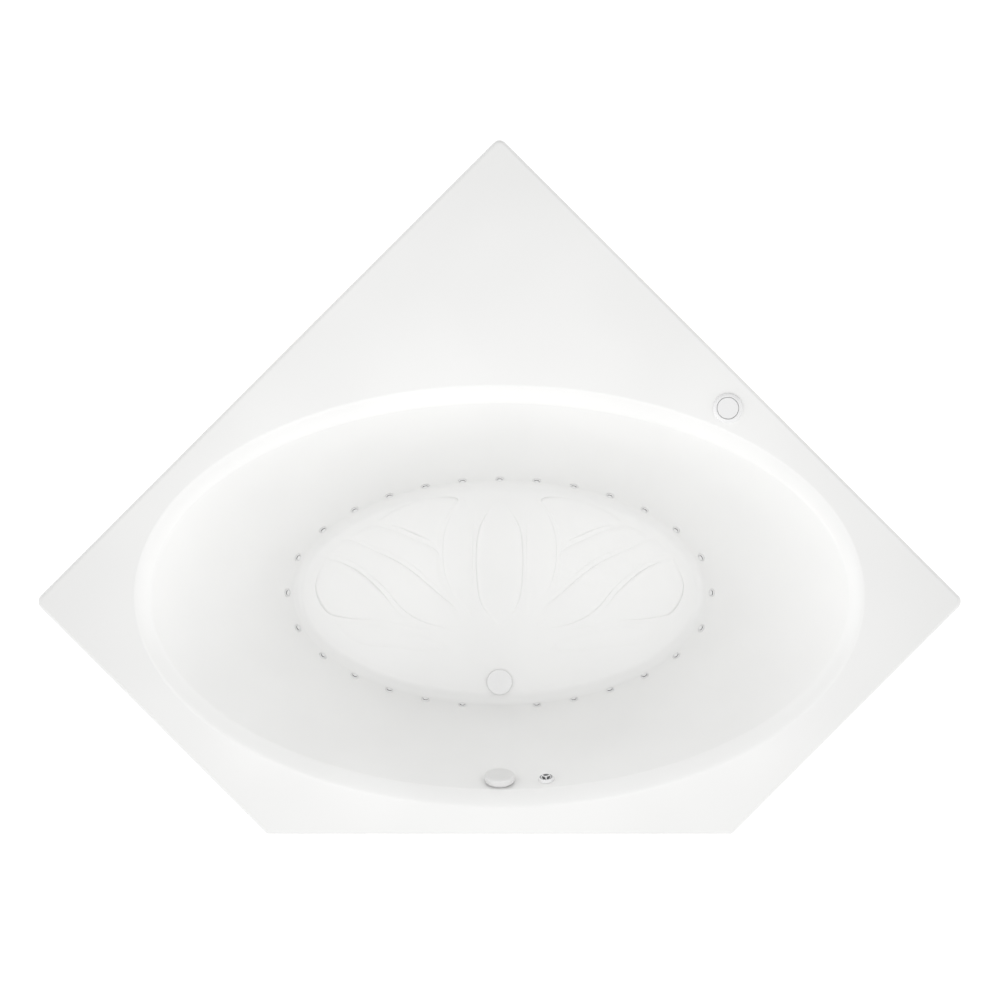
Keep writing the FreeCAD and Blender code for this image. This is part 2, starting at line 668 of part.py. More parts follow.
# --- Air injectors and manifold ----------------------------------------------------------------------
def make_injectors():
    """27 injectors: body, cap, gasket and nut, each kind one group of equal solids."""
    seat = "fitting_seat"
    crown = f"{seat} + injector_flange_thick"
    well = f"{seat} + injector_flange_thick / 3"
    body = turned("injector_body", ("injector_bore", "-injector_tail_end"),
                  ("injector_tail_radius", "-injector_tail_end"),
                  ("injector_tail_radius", "-skin - 3 * nut_thick"),
                  ("injector_shank_radius", "-skin - 3 * nut_thick"),
                  ("injector_shank_radius", seat), ("injector_flange_radius", seat),
                  ("injector_flange_radius", f"{crown} - 0.8"),
                  ("injector_flange_radius - 0.8", crown),
                  ("injector_cap_radius + injector_slot", crown),
                  ("injector_cap_radius + injector_slot", well), ("injector_bore", well))
    cap = turned("injector_cap", ("0", f"{well} - nut_thick"),
                 ("injector_bore / 2", f"{well} - nut_thick"), ("injector_bore / 2", f"{well} + 0.8"),
                 ("injector_cap_radius", f"{well} + 0.8"),
                 ("injector_cap_radius", f"{crown} + injector_cap_rise"),
                 ("injector_cap_radius * 0.7", f"{crown} + 2 * injector_cap_rise"),
                 ("0", f"{crown} + 2.5 * injector_cap_rise"))
    web = box("injector_web", "2 * injector_bore - 0.2", "1.2", "nut_thick",
              "0.1 - injector_bore", "-0.6", f"{well} - nut_thick")
    cap = fuse("injector_capped", cap, web)
    under = "-skin - bond_line"
    gasket = ring("injector_gasket", "injector_shank_radius + thread_clearance",
                  "injector_shank_radius + gasket_margin", f"{under} - gasket_thick", under)
    top = f"{under} - gasket_thick"
    nut = hex_nut("injector_nut", "4 * injector_shank_radius",
                  "injector_shank_radius + thread_clearance", f"{top} - nut_thick", top)
    for label, pattern in (("injector_bodies", body), ("injector_caps", cap),
                           ("injector_gaskets", gasket), ("injector_nuts", nut)):
        keep(copies(label, pattern, INJECTOR_SEATS), label)


def manifold_level():
    """Height of the manifold's plane: the mean of the injectors' reach points."""
    reach = V(0, 0, -size.manifold_reach)
    return sum(seat.multVec(reach).z for seat in INJECTOR_SEATS) / len(INJECTOR_SEATS)


MANIFOLD_LEVEL = manifold_level()


def manifold_knot(turn):
    """A point and a level direction of the manifold's centre line."""
    seat = wall_seat(size.floor_level + size.injector_height, turn)
    point = seat.multVec(V(0, 0, -size.manifold_reach))
    return V(point.x, point.y, MANIFOLD_LEVEL), seat.Rotation.multVec(V(1, 0, 0))


def biarc(start, along, end, onward):
    """Two arcs from start to end that have the given directions there and meet tangentially."""
    chord = end - start
    both = along + onward
    slack = 2 * (1 - along.dot(onward))
    reach = chord.dot(both)
    arm = chord.dot(chord) / (2 * reach)
    if slack > 1e-9:
        arm = (math.sqrt(reach ** 2 + slack * chord.dot(chord)) - reach) / slack
    first = start + along * arm
    last = end - onward * arm
    joint = (first + last) / 2
    return [bend(start, first, joint), bend(joint, last, end)]


def manifold_path():
    """The closed centre line, as tangent arcs through one knot for each pair of injectors."""
    knots = [manifold_knot(turn) for turn in injector_turns()[1::2]]
    edges = []
    for (start, along), (end, onward) in zip(knots, knots[1:] + knots[:1]):
        edges += biarc(start, along * -1, end, onward * -1)
    return Part.Wire(edges)


def supply_port():
    """Where the air pipe meets the manifold: beside the back injector, on the right."""
    step = injector_turns()
    turn = (step[0] + step[1]) / 2
    return manifold_knot(turn)[0]


PORT = supply_port()


def make_manifold():
    """The ring pipe that the injectors plug into, with the socket for the air pipe."""
    path = manifold_path()
    outer = size.manifold_radius
    inner = outer - size.manifold_wall
    neck = PORT + V(0, 2.2 * outer, 0)
    socket = through(PORT, neck, size.air_pipe_radius - size.manifold_wall)
    tube = swept(path, outer).fuse(socket)
    hollow = swept(path, inner)
    neck_bore = through(PORT, neck, size.air_pipe_radius - 2 * size.manifold_wall)
    wanted = math.pi * (outer ** 2 - inner ** 2) * path.Length
    print(f"manifold: {path.Length:.0f} mm round, pipe volume "
          f"{swept(path, outer).cut(hollow).Volume / wanted:.4f} of section times length")
    tails = [through(seat.multVec(V(0, 0, -size.injector_tail_end - 1)),
                     seat.multVec(V(0, 0, -size.injector_tail_end + outer)),
                     size.injector_tail_radius + size.thread_clearance)
             for seat in INJECTOR_SEATS]
    tube = tube.cut(Part.makeCompound([hollow, neck_bore])).cut(Part.makeCompound(tails))
    keep(feature("air_manifold", tube), "air_manifold")


# --- Air supply ------------------------------------------------------------------------------------
def make_supply():
    """Riser, non-return valve and the loop over the water line down to the manifold."""
    outer = size.air_pipe_radius
    inner = outer - size.air_pipe_wall
    across = PORT.x
    start = V(across - size.air_bend_radius - size.coupling_length / 2, size.riser_place,
              size.blower_outlet)
    turned_up = V(across, size.riser_place, size.blower_outlet)
    into_valve = V(across, size.riser_place, size.valve_bottom)
    out_of_valve = into_valve + V(0, 0, size.valve_height)
    top = V(across, size.riser_place, size.loop_top)
    over = V(across, size.fall_place, size.loop_top)
    down = V(across, size.fall_place, PORT.z)
    neck = PORT + V(0, 2.2 * size.manifold_radius, 0)
    low = pipe(route([start, turned_up, into_valve], size.air_bend_radius), outer, inner)
    keep(feature("air_riser", low), "air_riser")
    high = pipe(route([out_of_valve, top, over, down, neck], size.air_bend_radius), outer, inner)
    keep(feature("air_loop", high), "air_loop")
    keep_valve(across, into_valve.z)
    sleeves = []
    half = size.coupling_length / 2
    for spot, along in ((start, V(1, 0, 0)), (neck + V(0, half, 0), V(0, 1, 0))):
        sleeve = through(spot - along * half, spot + along * half, outer + size.coupling_wall)
        core = through(spot - along * half, spot + along * half, outer + size.thread_clearance)
        sleeves.append(sleeve.cut(core))
    keep(feature("pipe_couplings", Part.makeCompound(sleeves)), "pipe_couplings")
    return start


def keep_valve(across, bottom):
    """The non-return valve: housing, seat, and a flap that hangs on a pin and falls shut."""
    wall = "coupling_wall"
    bore = "air_pipe_radius + thread_clearance"
    seat_top = "coupling_length + coupling_wall / 2"
    housing = turned("valve_blank",
                     (bore, "-coupling_length / 2"), (f"{bore} + {wall}", "-coupling_length / 2"),
                     (f"{bore} + {wall}", "coupling_length / 2"),
                     ("valve_radius", "coupling_length"),
                     ("valve_radius", "valve_height - coupling_length"),
                     (f"{bore} + {wall}", "valve_height - coupling_length / 2"),
                     (f"{bore} + {wall}", "valve_height + coupling_length / 2"),
                     (bore, "valve_height + coupling_length / 2"),
                     (bore, "valve_height"),
                     ("air_pipe_radius - air_pipe_wall", "valve_height"),
                     (f"valve_radius - {wall}", "valve_height - coupling_length"),
                     (f"valve_radius - {wall}", seat_top),
                     ("air_pipe_radius - air_pipe_wall", seat_top),
                     ("air_pipe_radius - air_pipe_wall", "0"), (bore, "0"))
    place(housing, across, "riser_place", bottom)
    doc.recompute()
    seat_level = bottom + size.coupling_length + size.coupling_wall / 2
    knuckle_radius = size.flap_pin_radius + 1.8
    hinge = V(across - size.flap_radius - 1, size.riser_place,
              seat_level + size.bond_line + knuckle_radius + 0.1)
    half = size.valve_radius
    ends = (hinge - V(0, half, 0), hinge + V(0, half, 0))
    inside = through(ends[0], ends[1], size.flap_pin_radius)
    room = Part.makeCylinder(size.valve_radius - size.coupling_wall / 2, size.valve_height,
                             V(across, size.riser_place, bottom))
    pin = inside.common(room)
    keep(feature("valve_housing", housing.Shape.cut(through(ends[0], ends[1],
         size.flap_pin_radius + size.thread_clearance).common(room))), "valve_housing")
    keep(feature("valve_pin", pin), "valve_pin")
    under = seat_level + size.bond_line
    disc = Part.makeCylinder(size.flap_radius, size.flap_thick, V(across, size.riser_place, under))
    knuckle_half = V(0, size.flap_radius / 3, 0)
    knuckle = through(hinge - knuckle_half, hinge + knuckle_half, knuckle_radius)
    arm = Part.makeBox(size.flap_radius / 2, 2 * knuckle_half.y, size.flap_thick,
                       V(hinge.x, hinge.y - knuckle_half.y, under))
    hole = through(hinge - knuckle_half * 2, hinge + knuckle_half * 2,
                   size.flap_pin_radius + size.running_clearance)
    keep(feature("valve_flap", disc.fuse([knuckle, arm]).removeSplitter().cut(hole)), "valve_flap")
    print(f"flap hinge at {hinge.x:.2f}, {hinge.y:.2f}, {hinge.z:.2f}")


def four_places(reach):
    """Places on the diagonals round the blower's axis, as formulas for X and Y."""
    diagonal = f"({reach}) / sqrt(2)"
    return [(f"-blower_left + {x} * {diagonal}", f"blower_place + {y} * {diagonal}")
            for x, y in ((1, 1), (-1, 1), (-1, -1), (1, -1))]


def make_blower(pipe_start):
    """Blower on rubber feet: housing, impeller on the motor's shaft, motor and its cover."""
    left, along = "-blower_left", "blower_place"
    wall = "blower_wall"
    can = rod("blower_can", "blower_radius", "blower_height", left, along, "blower_bottom")
    spout_length = pipe_start.x + size.blower_left
    spout = rod("blower_spout", "air_pipe_radius", spout_length, left, "riser_place",
                "blower_outlet", EAST)
    room = rod("blower_room", f"blower_radius - {wall}", f"blower_height - 2 * {wall}", left,
               along, f"blower_bottom + {wall}")
    bore = rod("blower_bore", "air_pipe_radius - air_pipe_wall", spout_length + 1, left,
               "riser_place", "blower_outlet", EAST)
    intake = rod("blower_intake", "motor_radius - 4", f"3 * {wall}", left, along,
                 f"blower_bottom - {wall}")
    shaft_hole = rod("blower_shaft_hole", "shaft_radius + 2", f"3 * {wall}", left, along,
                     f"blower_top - 2 * {wall}")
    cuts = [room, bore, intake, shaft_hole]
    pins = []
    screws = four_places("cover_radius + cover_rim / 2")
    for number, (x, y) in enumerate(screws):
        cuts.append(rod(f"screw_hole_{number}", "2.1", f"3 * {wall}", x, y,
                        f"blower_top - 2 * {wall}"))
        shank = rod(f"screw_shank_{number}", "2", "12", x, y, "blower_top - 9")
        head = rod(f"screw_head_{number}", "4", "2.6", x, y, "blower_top + 3")
        pins.append(fuse(f"screw_{number}", shank, head))
    keep(cut("blower_housing", fuse("blower_outer", can, spout), fuse("blower_inner", *cuts)),
         "blower_housing")
    keep(fuse("blower_screws", *pins), "blower_screws")
    feet = []
    for number, (x, y) in enumerate(four_places("blower_foot_circle")):
        feet.append(rod(f"foot_{number}", "blower_foot_radius", "blower_foot_height", x, y,
                        "board_top"))
    keep(fuse("blower_feet", *feet), "blower_feet")
    make_impeller()
    motor = turned("motor", ("shaft_radius + running_clearance", "blower_top"),
                   ("motor_radius", "blower_top"), ("motor_radius", "blower_top + motor_height"),
                   ("shaft_radius + running_clearance", "blower_top + motor_height"))
    keep(place(motor, left, along, 0), "blower_motor")
    top = "blower_top + cover_height"
    cover = turned("cover_blank", (f"cover_radius - {wall}", "blower_top"),
                   ("cover_radius + cover_rim", "blower_top"),
                   ("cover_radius + cover_rim", "blower_top + 3"),
                   ("cover_radius", "blower_top + 3"), ("cover_radius", f"{top} - 12"),
                   ("cover_radius - 12", top), ("0", top), ("0", f"{top} - {wall}"),
                   (f"cover_radius - 12 - {wall} / 2", f"{top} - {wall}"),
                   (f"cover_radius - {wall}", f"{top} - 12 - {wall} / 2"))
    place(cover, left, along, 0)
    slots = []
    for number in range(round(size.cover_slots)):
        slot = bind(doc.addObject("Part::Box", f"slot_{number}"), Length="2 * cover_radius",
                    Width=4, Height="cover_height / 3")
        slot.Placement = FreeCAD.Placement(
            V(-size.blower_left, size.blower_place, size.blower_top + size.cover_height / 3),
            FreeCAD.Rotation(UP, 360 * number / size.cover_slots), V(0, 2, 0))
        slots.append(slot)
    for number, (x, y) in enumerate(screws):
        slots.append(rod(f"cover_hole_{number}", "2.1", 12, x, y, "blower_top - 4"))
    gland_level = "blower_top + cover_height - 24"
    slots.append(rod("gland_hole", "6.1", "2 * cover_radius", left, along, gland_level, WEST))
    slots.append(rod("barb_hole", "barb_radius + 0.1", "2 * cover_radius", left, along, gland_level,
                     EAST))
    keep(cut("blower_cover", cover, fuse("cover_cuts", *slots)), "blower_cover")
    gland = turned("gland", ("3.5", "-6"), ("6", "-6"), ("6", "0.3"), ("10", "0.3"), ("10", "9"),
                   ("7", "16"), ("3.5", "16"))
    spot = V(-size.blower_left - size.cover_radius, size.blower_place,
             size.blower_top + size.cover_height - 24)
    keep(placed(gland, FreeCAD.Placement(spot, WEST)), "cord_gland")


def make_impeller():
    """The impeller: a plate, straight vanes and a hub on the motor's shaft."""
    base = "blower_bottom + 2 * blower_wall + 2"
    plate = turned("impeller_plate", ("0", f"{base} + impeller_height"),
                   ("impeller_radius", f"{base} + impeller_height"),
                   ("impeller_radius", f"{base} + impeller_height + 3"),
                   ("shaft_radius * 2.4", f"{base} + impeller_height + 3"),
                   ("shaft_radius * 2.4", f"{base} + impeller_height + 9"),
                   ("shaft_radius", f"{base} + impeller_height + 9"),
                   ("shaft_radius", "blower_top + motor_height * 0.75"),
                   ("0", "blower_top + motor_height * 0.75"))
    place(plate, "-blower_left", "blower_place", 0)
    vanes = [plate]
    for number in range(round(size.impeller_vanes)):
        vane = bind(doc.addObject("Part::Box", f"vane_{number}"),
                    Length="impeller_radius - motor_radius", Width="blower_wall",
                    Height="impeller_height + 1")
        vane.Placement = FreeCAD.Placement(
            V(-size.blower_left, size.blower_place, size.blower_bottom + 2 * size.blower_wall + 2),
            FreeCAD.Rotation(UP, 360 * number / size.impeller_vanes))
        vane.Placement = vane.Placement.multiply(FreeCAD.Placement(
            V(size.motor_radius, -size.motor_radius / 2, 0), FreeCAD.Rotation(UP, 24)))
        vanes.append(vane)
    keep(fuse("blower_impeller", *vanes), "blower_impeller")


# --- Waste -----------------------------------------------------------------------------------------
SOCKET = "pipe_radius + shoe_wall"


def make_waste():
    """Waste flange, gasket and shoe under the floor, with the stopper and its lift lever."""
    barrel = "waste_barrel_radius"
    under = "-skin - bond_line"
    clamp = f"{under} - gasket_thick"
    shell = turned("waste_flange_turned", ("waste_bore", "-waste_barrel_length"),
                   (barrel, "-waste_barrel_length"), (barrel, "fitting_seat"),
                   ("waste_flange_radius", "fitting_seat"),
                   ("waste_flange_radius", "waste_flange_thick"),
                   ("waste_bore", "waste_flange_thick"))
    guide = "-waste_barrel_length + waste_flange_thick"
    webs = [box(f"waste_web_{number}", "2 * waste_bore + 2", "waste_flange_thick",
                "3 * waste_flange_thick", "-waste_bore - 1", "-waste_flange_thick / 2", guide)
            for number in range(2)]
    webs[1].Placement.Rotation = FreeCAD.Rotation(UP, 90)
    place(webs[1], "waste_flange_thick / 2", "-waste_bore - 1", guide)
    hub = rod("waste_hub", "stem_radius + 3", "4 * waste_flange_thick", 0, 0, guide)
    stem_hole = rod("waste_stem_hole", "stem_radius + running_clearance",
                    "2 * waste_barrel_length", 0, 0, "-1.5 * waste_barrel_length")
    flange = cut("waste_flange", fuse("waste_flange_webbed", shell, *webs, hub), stem_hole)
    keep(place(flange, 0, "drain_place", "floor_level"), "waste_flange")
    gasket = ring("waste_gasket", f"{barrel} + thread_clearance", "shoe_flange_radius", clamp,
                  under)
    keep(place(gasket, 0, "drain_place", "floor_level"), "waste_gasket")
    make_shoe(clamp)
    make_stopper()


def make_shoe(clamp):
    """The shoe: chamber under the waste, outlet socket forwards, bearing for the lift lever."""
    top = f"floor_level + ({clamp})"
    chamber = rod("shoe_chamber", "shoe_radius", f"{top} - shoe_bottom", 0, "drain_place",
                  "shoe_bottom")
    flange = rod("shoe_flange", "shoe_flange_radius", "shoe_wall", 0, "drain_place",
                 f"{top} - shoe_wall")
    reach = "2 * shoe_radius"
    outlet = rod("shoe_outlet", SOCKET, reach, 0, "drain_place", "outlet_height", FORWARD)
    lug = box("shoe_cable_lug", "shoe_wall * 3.4", "shoe_wall * 2", "shoe_wall * 3",
              "shoe_radius - shoe_wall", "drain_place - shoe_wall",
              f"{CABLE_END.z} - shoe_wall * 1.5")
    bearing = rod("shoe_bearing", "lever_pin_radius + shoe_wall", "shoe_wall * 2",
                  "shoe_radius - shoe_wall * 3", "drain_place + lever_arm", lever_level(),
                  EAST)
    outside = fuse("shoe_outside", chamber, flange, outlet, lug, bearing)
    neck = rod("shoe_neck", "waste_barrel_radius + thread_clearance", "waste_barrel_length", 0,
               "drain_place", "floor_level - waste_barrel_length")
    room = rod("shoe_room", "shoe_radius - shoe_wall",
               "floor_level - waste_barrel_length - shoe_bottom - shoe_wall", 0, "drain_place",
               "shoe_bottom + shoe_wall")
    bore = rod("shoe_bore", "pipe_radius - pipe_wall", reach, 0, "drain_place", "outlet_height",
               FORWARD)
    socket = rod("shoe_socket", "pipe_radius + thread_clearance", "slip_nut_length", 0,
                 f"drain_place - {reach} + slip_nut_length", "outlet_height", FORWARD)
    pin_hole = rod("shoe_pin_hole", "lever_pin_radius + running_clearance", "2 * shoe_radius",
                   0, "drain_place + lever_arm", lever_level(), EAST)
    cable_hole = rod("shoe_cable_hole", "cable_radius + thread_clearance", "shoe_wall * 4",
                     CABLE_END.x, "drain_place + shoe_wall * 2", CABLE_END.z, FORWARD)
    keep(cut("waste_shoe", outside, fuse("shoe_inside", neck, room, bore, socket, pin_hole,
                                         cable_hole)), "waste_shoe")


def stem_end():
    """How far the stopper's stem reaches below the floor of the bath."""
    return "waste_barrel_length + 2 * stem_radius"


def lever_level():
    """Height of the lift lever's spindle: its ball clears the stem and rises by the lift."""
    return f"floor_level - ({stem_end()}) - bond_line - stem_radius * 0.8 + stopper_lift / 2"


def make_stopper():
    """The stopper with its seal, and the lever that lifts it."""
    under = "waste_flange_thick + bond_line"
    top = f"{under} + stopper_thick"
    stopper = turned("stopper", ("0", f"-({stem_end()})"), ("stem_radius / 2", f"-({stem_end()})"),
                     ("stem_radius / 2", f"-({stem_end()}) + stem_radius"),
                     ("stem_radius", f"-({stem_end()}) + stem_radius * 1.5"),
                     ("stem_radius", "-3"), ("waste_bore - 3", "-3"), ("waste_bore - 3", under),
                     ("stopper_radius", under), ("stopper_radius", f"{top} - 1.2"),
                     ("stopper_radius - 1.2", top), ("0", f"{top} + 0.6"))
    keep(place(stopper, 0, "drain_place", "floor_level"), "stopper")
    seal = ring("stopper_seal", "waste_bore - 3 + thread_clearance",
                "waste_bore - 2 * running_clearance",
                "-2.5", "0")
    keep(place(seal, 0, "drain_place", "floor_level"), "stopper_seal")
    rest = math.asin(size.stopper_lift / (2 * size.lever_arm))
    lever = doc.addObject("Part::Cylinder", "lever_spindle")
    bind(lever, Radius="lever_pin_radius", Height="shoe_radius + 5 * shoe_wall")
    lever.Placement = FreeCAD.Placement(V(0, 0, 0), EAST)
    place(lever, "-shoe_wall", "drain_place + lever_arm", lever_level())
    crank = box("lever_crank", "shoe_wall", "2 * lever_pin_radius", "lever_arm",
                "shoe_radius + shoe_wall * 0.8", "drain_place + lever_arm - lever_pin_radius",
                f"{lever_level()} - lever_arm * 0.8")
    doc.recompute()
    pivot = V(0, size.drain_place + size.lever_arm, lever.Placement.Base.z)
    ball = pivot + V(0, -math.cos(rest), -math.sin(rest)) * size.lever_arm
    finger = feature("lever_finger", through(pivot, ball, 2).fuse(
        Part.makeSphere(size.stem_radius * 0.8, ball)))
    keep(fuse("lift_lever", lever, crank, finger), "lift_lever")
    print(f"lift lever pivot at {pivot.x:.3f}, {pivot.y:.3f}, {pivot.z:.3f}, "
          f"swing {2 * math.degrees(rest):.3f} degrees")


def make_pipes():
    """Overflow pipe, waste pipe, tee, tailpiece and the four slip nuts."""
    tee_low = "outlet_height - tee_half"
    sleeve = rod("tee_sleeve", SOCKET, "2 * tee_half", 0, "tee_place", tee_low)
    back = FreeCAD.Rotation(V(1, 0, 0), -90)
    branch = rod("tee_branch", SOCKET, "tee_half", 0, "tee_place", "outlet_height", back)
    inner = "pipe_radius - pipe_wall"
    bore = rod("tee_bore", inner, "2 * tee_half", 0, "tee_place", tee_low)
    branch_bore = rod("tee_branch_bore", inner, "tee_half", 0, "tee_place", "outlet_height", back)
    snug = "pipe_radius + thread_clearance"
    depth = "slip_nut_length * 0.75"
    sockets = [rod("tee_low_socket", snug, depth, 0, "tee_place", tee_low),
               rod("tee_high_socket", snug, depth, 0, "tee_place",
                   f"outlet_height + tee_half - {depth}"),
               rod("tee_branch_socket", snug, depth, 0, f"tee_place + tee_half - {depth}",
                   "outlet_height", back)]
    keep(cut("waste_tee", fuse("tee_outside", sleeve, branch),
             fuse("tee_inside", bore, branch_bore, *sockets)), "waste_tee")
    low, high = f"({tee_low} + {depth})", f"(outlet_height + tee_half - {depth})"
    bead = f"{tee_low} - slip_nut_length / 3"
    tail = turned("tail", (inner, "tail_clearance"), ("pipe_radius", "tail_clearance"),
                  ("pipe_radius", f"{bead} - 4"), ("pipe_radius + 1.4", f"{bead} - 4"),
                  ("pipe_radius + 1.4", f"{bead} - 0.5"), ("pipe_radius", f"{bead} - 0.5"),
                  ("pipe_radius", low), (inner, low))
    keep(place(tail, 0, "tee_place", 0), "tailpiece")
    up = ring("overflow_tube", inner, "pipe_radius", high, f"{SOCKET_LEVEL:.4f} + {depth}")
    keep(place(up, 0, "tee_place", 0), "overflow_pipe")
    length = f"(drain_place - 2 * shoe_radius + {depth}) - (tee_place + tee_half - {depth})"
    along = rod("along_outside", "pipe_radius", length, 0,
                f"tee_place + tee_half - {depth}", "outlet_height", back)
    along_bore = rod("along_bore", inner, length, 0, f"tee_place + tee_half - {depth}",
                     "outlet_height", back)
    keep(cut("waste_pipe", along, along_bore), "waste_pipe")
    third = "slip_nut_length / 3"
    nut = turned("slip_nut", (snug, f"-{third}"), ("slip_nut_radius - 2", f"-{third}"),
                 ("slip_nut_radius", f"-{third} + 2"), ("slip_nut_radius", f"2 * {third}"),
                 (f"{SOCKET} + thread_clearance", f"2 * {third}"),
                 (f"{SOCKET} + thread_clearance", "0"), (snug, "0"))
    tee = V(0, size.tee_place, size.outlet_height)
    seats = [(V(0, size.drain_place - 2 * size.shoe_radius, size.outlet_height), V(0, 1, 0)),
             (tee + V(0, size.tee_half, 0), V(0, -1, 0)),
             (tee + V(0, 0, size.tee_half), V(0, 0, -1)),
             (tee - V(0, 0, size.tee_half), V(0, 0, 1))]
    spots = [FreeCAD.Placement(spot, FreeCAD.Rotation(UP, onto)) for spot, onto in seats]
    keep(copies("slip_nuts", nut, spots), "slip_nuts")


# --- Overflow ----------------------------------------------------------------------------------------
def make_overflow():
    """Overflow flange, screws and gasket, the chamber behind the wall, and the turning knob."""
    under = "-skin - bond_line"
    clamp = f"({under} - gasket_thick)"
    front = "fitting_seat"
    face = f"{front} + overflow_flange_thick"
    hub = "spindle_radius + 4"
    plate = turned("overflow_plate", ("spindle_radius + running_clearance", f"{under} - 4"),
                   (hub, f"{under} - 4"), (hub, front), ("overflow_flange_radius", front),
                   ("overflow_flange_radius", f"{face} - 1"),
                   ("overflow_flange_radius - 1", face),
                   ("spindle_radius + running_clearance", face))
    lug_place = size.overflow_hole - 4.5
    cuts = [rod(f"overflow_slot_{number}", "4", "2 * overflow_flange_thick",
                14.5 * math.cos(math.radians(60 * number + 30)),
                14.5 * math.sin(math.radians(60 * number + 30)), "0")
            for number in range(6)]
    cuts += [rod(f"overflow_screw_hole_{number}", "2.1", "2 * overflow_flange_thick",
                 side * lug_place, 0, "0") for number, side in enumerate((-1, 1))]
    keep(placed(cut("overflow_flange", plate, fuse("overflow_cuts", *cuts)), OVERFLOW_SEAT),
         "overflow_flange")
    screws = []
    for number, side in enumerate((-1, 1)):
        shank = rod(f"overflow_shank_{number}", "2", f"{face} - {clamp} + 14", side * lug_place, 0,
                    f"{clamp} - 14")
        head = rod(f"overflow_head_{number}", "3.6", "1.8", side * lug_place, 0, face)
        screws.append(fuse(f"overflow_screw_{number}", shank, head))
    keep(placed(fuse("overflow_screws", *screws), OVERFLOW_SEAT), "overflow_screws")
    gasket = ring("overflow_gasket", "overflow_hole", "overflow_body_radius", clamp, under)
    keep(placed(gasket, OVERFLOW_SEAT), "overflow_gasket")
    make_overflow_body(clamp, lug_place)
    top = "knob_gap + knob_depth"
    crank = f"({under} - 6)"
    knob = turned("knob", ("0", f"{crank} - 4"), ("spindle_radius * 2.4", f"{crank} - 4"),
                  ("spindle_radius * 2.4", crank), ("spindle_radius", crank),
                  ("spindle_radius", f"{top} - knob_wall"),
                  ("knob_radius - knob_wall", f"{top} - knob_wall"),
                  ("knob_radius - knob_wall", "knob_gap"), ("knob_radius", "knob_gap"),
                  ("knob_radius", f"{top} - 2.5"), ("knob_radius - 2.5", top),
                  ("knob_radius * 0.6", f"{top} + knob_crown * 0.7"), ("0", f"{top} + knob_crown"))
    keep(placed(knob, OVERFLOW_SEAT), "overflow_knob")


def make_overflow_body(clamp, lug_place):
    """The chamber behind the wall, its lugs for the screws and its socket for the pipe."""
    chamber = turned("chamber", ("0", f"{clamp} - overflow_body_depth"),
                     ("overflow_body_radius", f"{clamp} - overflow_body_depth"),
                     ("overflow_body_radius", clamp), ("0", clamp))
    hollow = turned("chamber_hollow", ("0", f"{clamp} - overflow_body_depth + shoe_wall"),
                    ("overflow_body_radius - shoe_wall",
                     f"{clamp} - overflow_body_depth + shoe_wall"),
                    ("overflow_body_radius - shoe_wall", clamp), ("0", clamp))
    lugs = []
    for number, side in enumerate((-1, 1)):
        low = lug_place - 4 if side > 0 else -size.overflow_body_radius + 2
        lugs.append(box(f"overflow_lug_{number}", f"overflow_body_radius - {lug_place + 4 - 6:.4f}",
                        "8", "16", low, "-4", f"{clamp} - 16"))
    doc.recompute()
    inside = hollow.Shape.copy()
    for lug in lugs:
        inside = inside.cut(lug.Shape)
    for side in (-1, 1):
        inside = inside.fuse(Part.makeCylinder(2.05, 16, V(side * lug_place, 0,
                             -size.skin - size.bond_line - size.gasket_thick - 16)))
    inside.Placement = OVERFLOW_SEAT.multiply(inside.Placement)
    outside = chamber.Shape.copy()
    outside.Placement = OVERFLOW_SEAT.multiply(outside.Placement)
    socket_top = V(0, size.tee_place, FITTING_LEVEL - 24)
    socket_low = V(0, size.tee_place, SOCKET_LEVEL)
    outer = size.pipe_radius + size.shoe_wall
    depth = V(0, 0, size.slip_nut_length * 0.75)
    boss = through(CABLE_START + V(0, 0, 12), CABLE_START - V(0, 0, 2), size.cable_radius + 2)
    body = outside.fuse([through(socket_low, socket_top, outer), boss])
    body = body.cut([inside, through(socket_low, socket_top - V(0, 0, 3),
                                     size.pipe_radius - size.pipe_wall),
                     through(socket_low, socket_low + depth,
                             size.pipe_radius + size.thread_clearance),
                     through(CABLE_START + V(0, 0, 5), CABLE_START - V(0, 0, 2),
                             size.cable_radius + size.thread_clearance)])
    keep(feature("overflow_body", body), "overflow_body")


SOCKET_LEVEL = FITTING_LEVEL - 72
CABLE_START = V(29.5, size.tee_place, FITTING_LEVEL - 36)
CABLE_END = V(size.shoe_radius + size.shoe_wall * 1.3, size.drain_place + size.shoe_wall, 66)


def free_route(points):
    """A cable's centre line: runs joined by arcs as large as the runs allow."""
    edges = []
    here = points[0]
    for before, corner, after in zip(points, points[1:], points[2:]):
        into, out = corner - before, after - corner
        tangent = 0.45 * min(into.Length, out.Length)
        half_turn = into.getAngle(out) / 2
        print(f"  arc radius {tangent / math.tan(half_turn):.0f}")
        start = corner - into.normalize() * tangent
        end = corner + out.normalize() * tangent
        edges.append(Part.LineSegment(here, start).toShape())
        edges.append(bend(start, corner, end))
        here = end
    edges.append(Part.LineSegment(here, points[-1]).toShape())
    return Part.Wire(edges)


def make_cable():
    """The cable that carries the knob's turn down to the lift lever."""
    x = CABLE_START.x
    y = size.tee_place
    points = [CABLE_START + V(0, 0, 4), V(x + 0.5, y + 0.5, 400), V(x + 3, y + 3, 310),
              V(x + 8, y + 8, 220), V(x + 10, y + 34, 140), V(x + 9, y + 92, 84),
              V(CABLE_END.x, y + 170, CABLE_END.z), CABLE_END]
    print("drive cable")
    path = free_route(points)
    cable = swept(path, size.cable_radius)
    wanted = math.pi * size.cable_radius ** 2 * path.Length
    print(f"  {path.Length:.0f} mm long, volume {cable.Volume / wanted:.4f} of section times length")
    keep(feature("drive_cable", cable), "drive_cable")


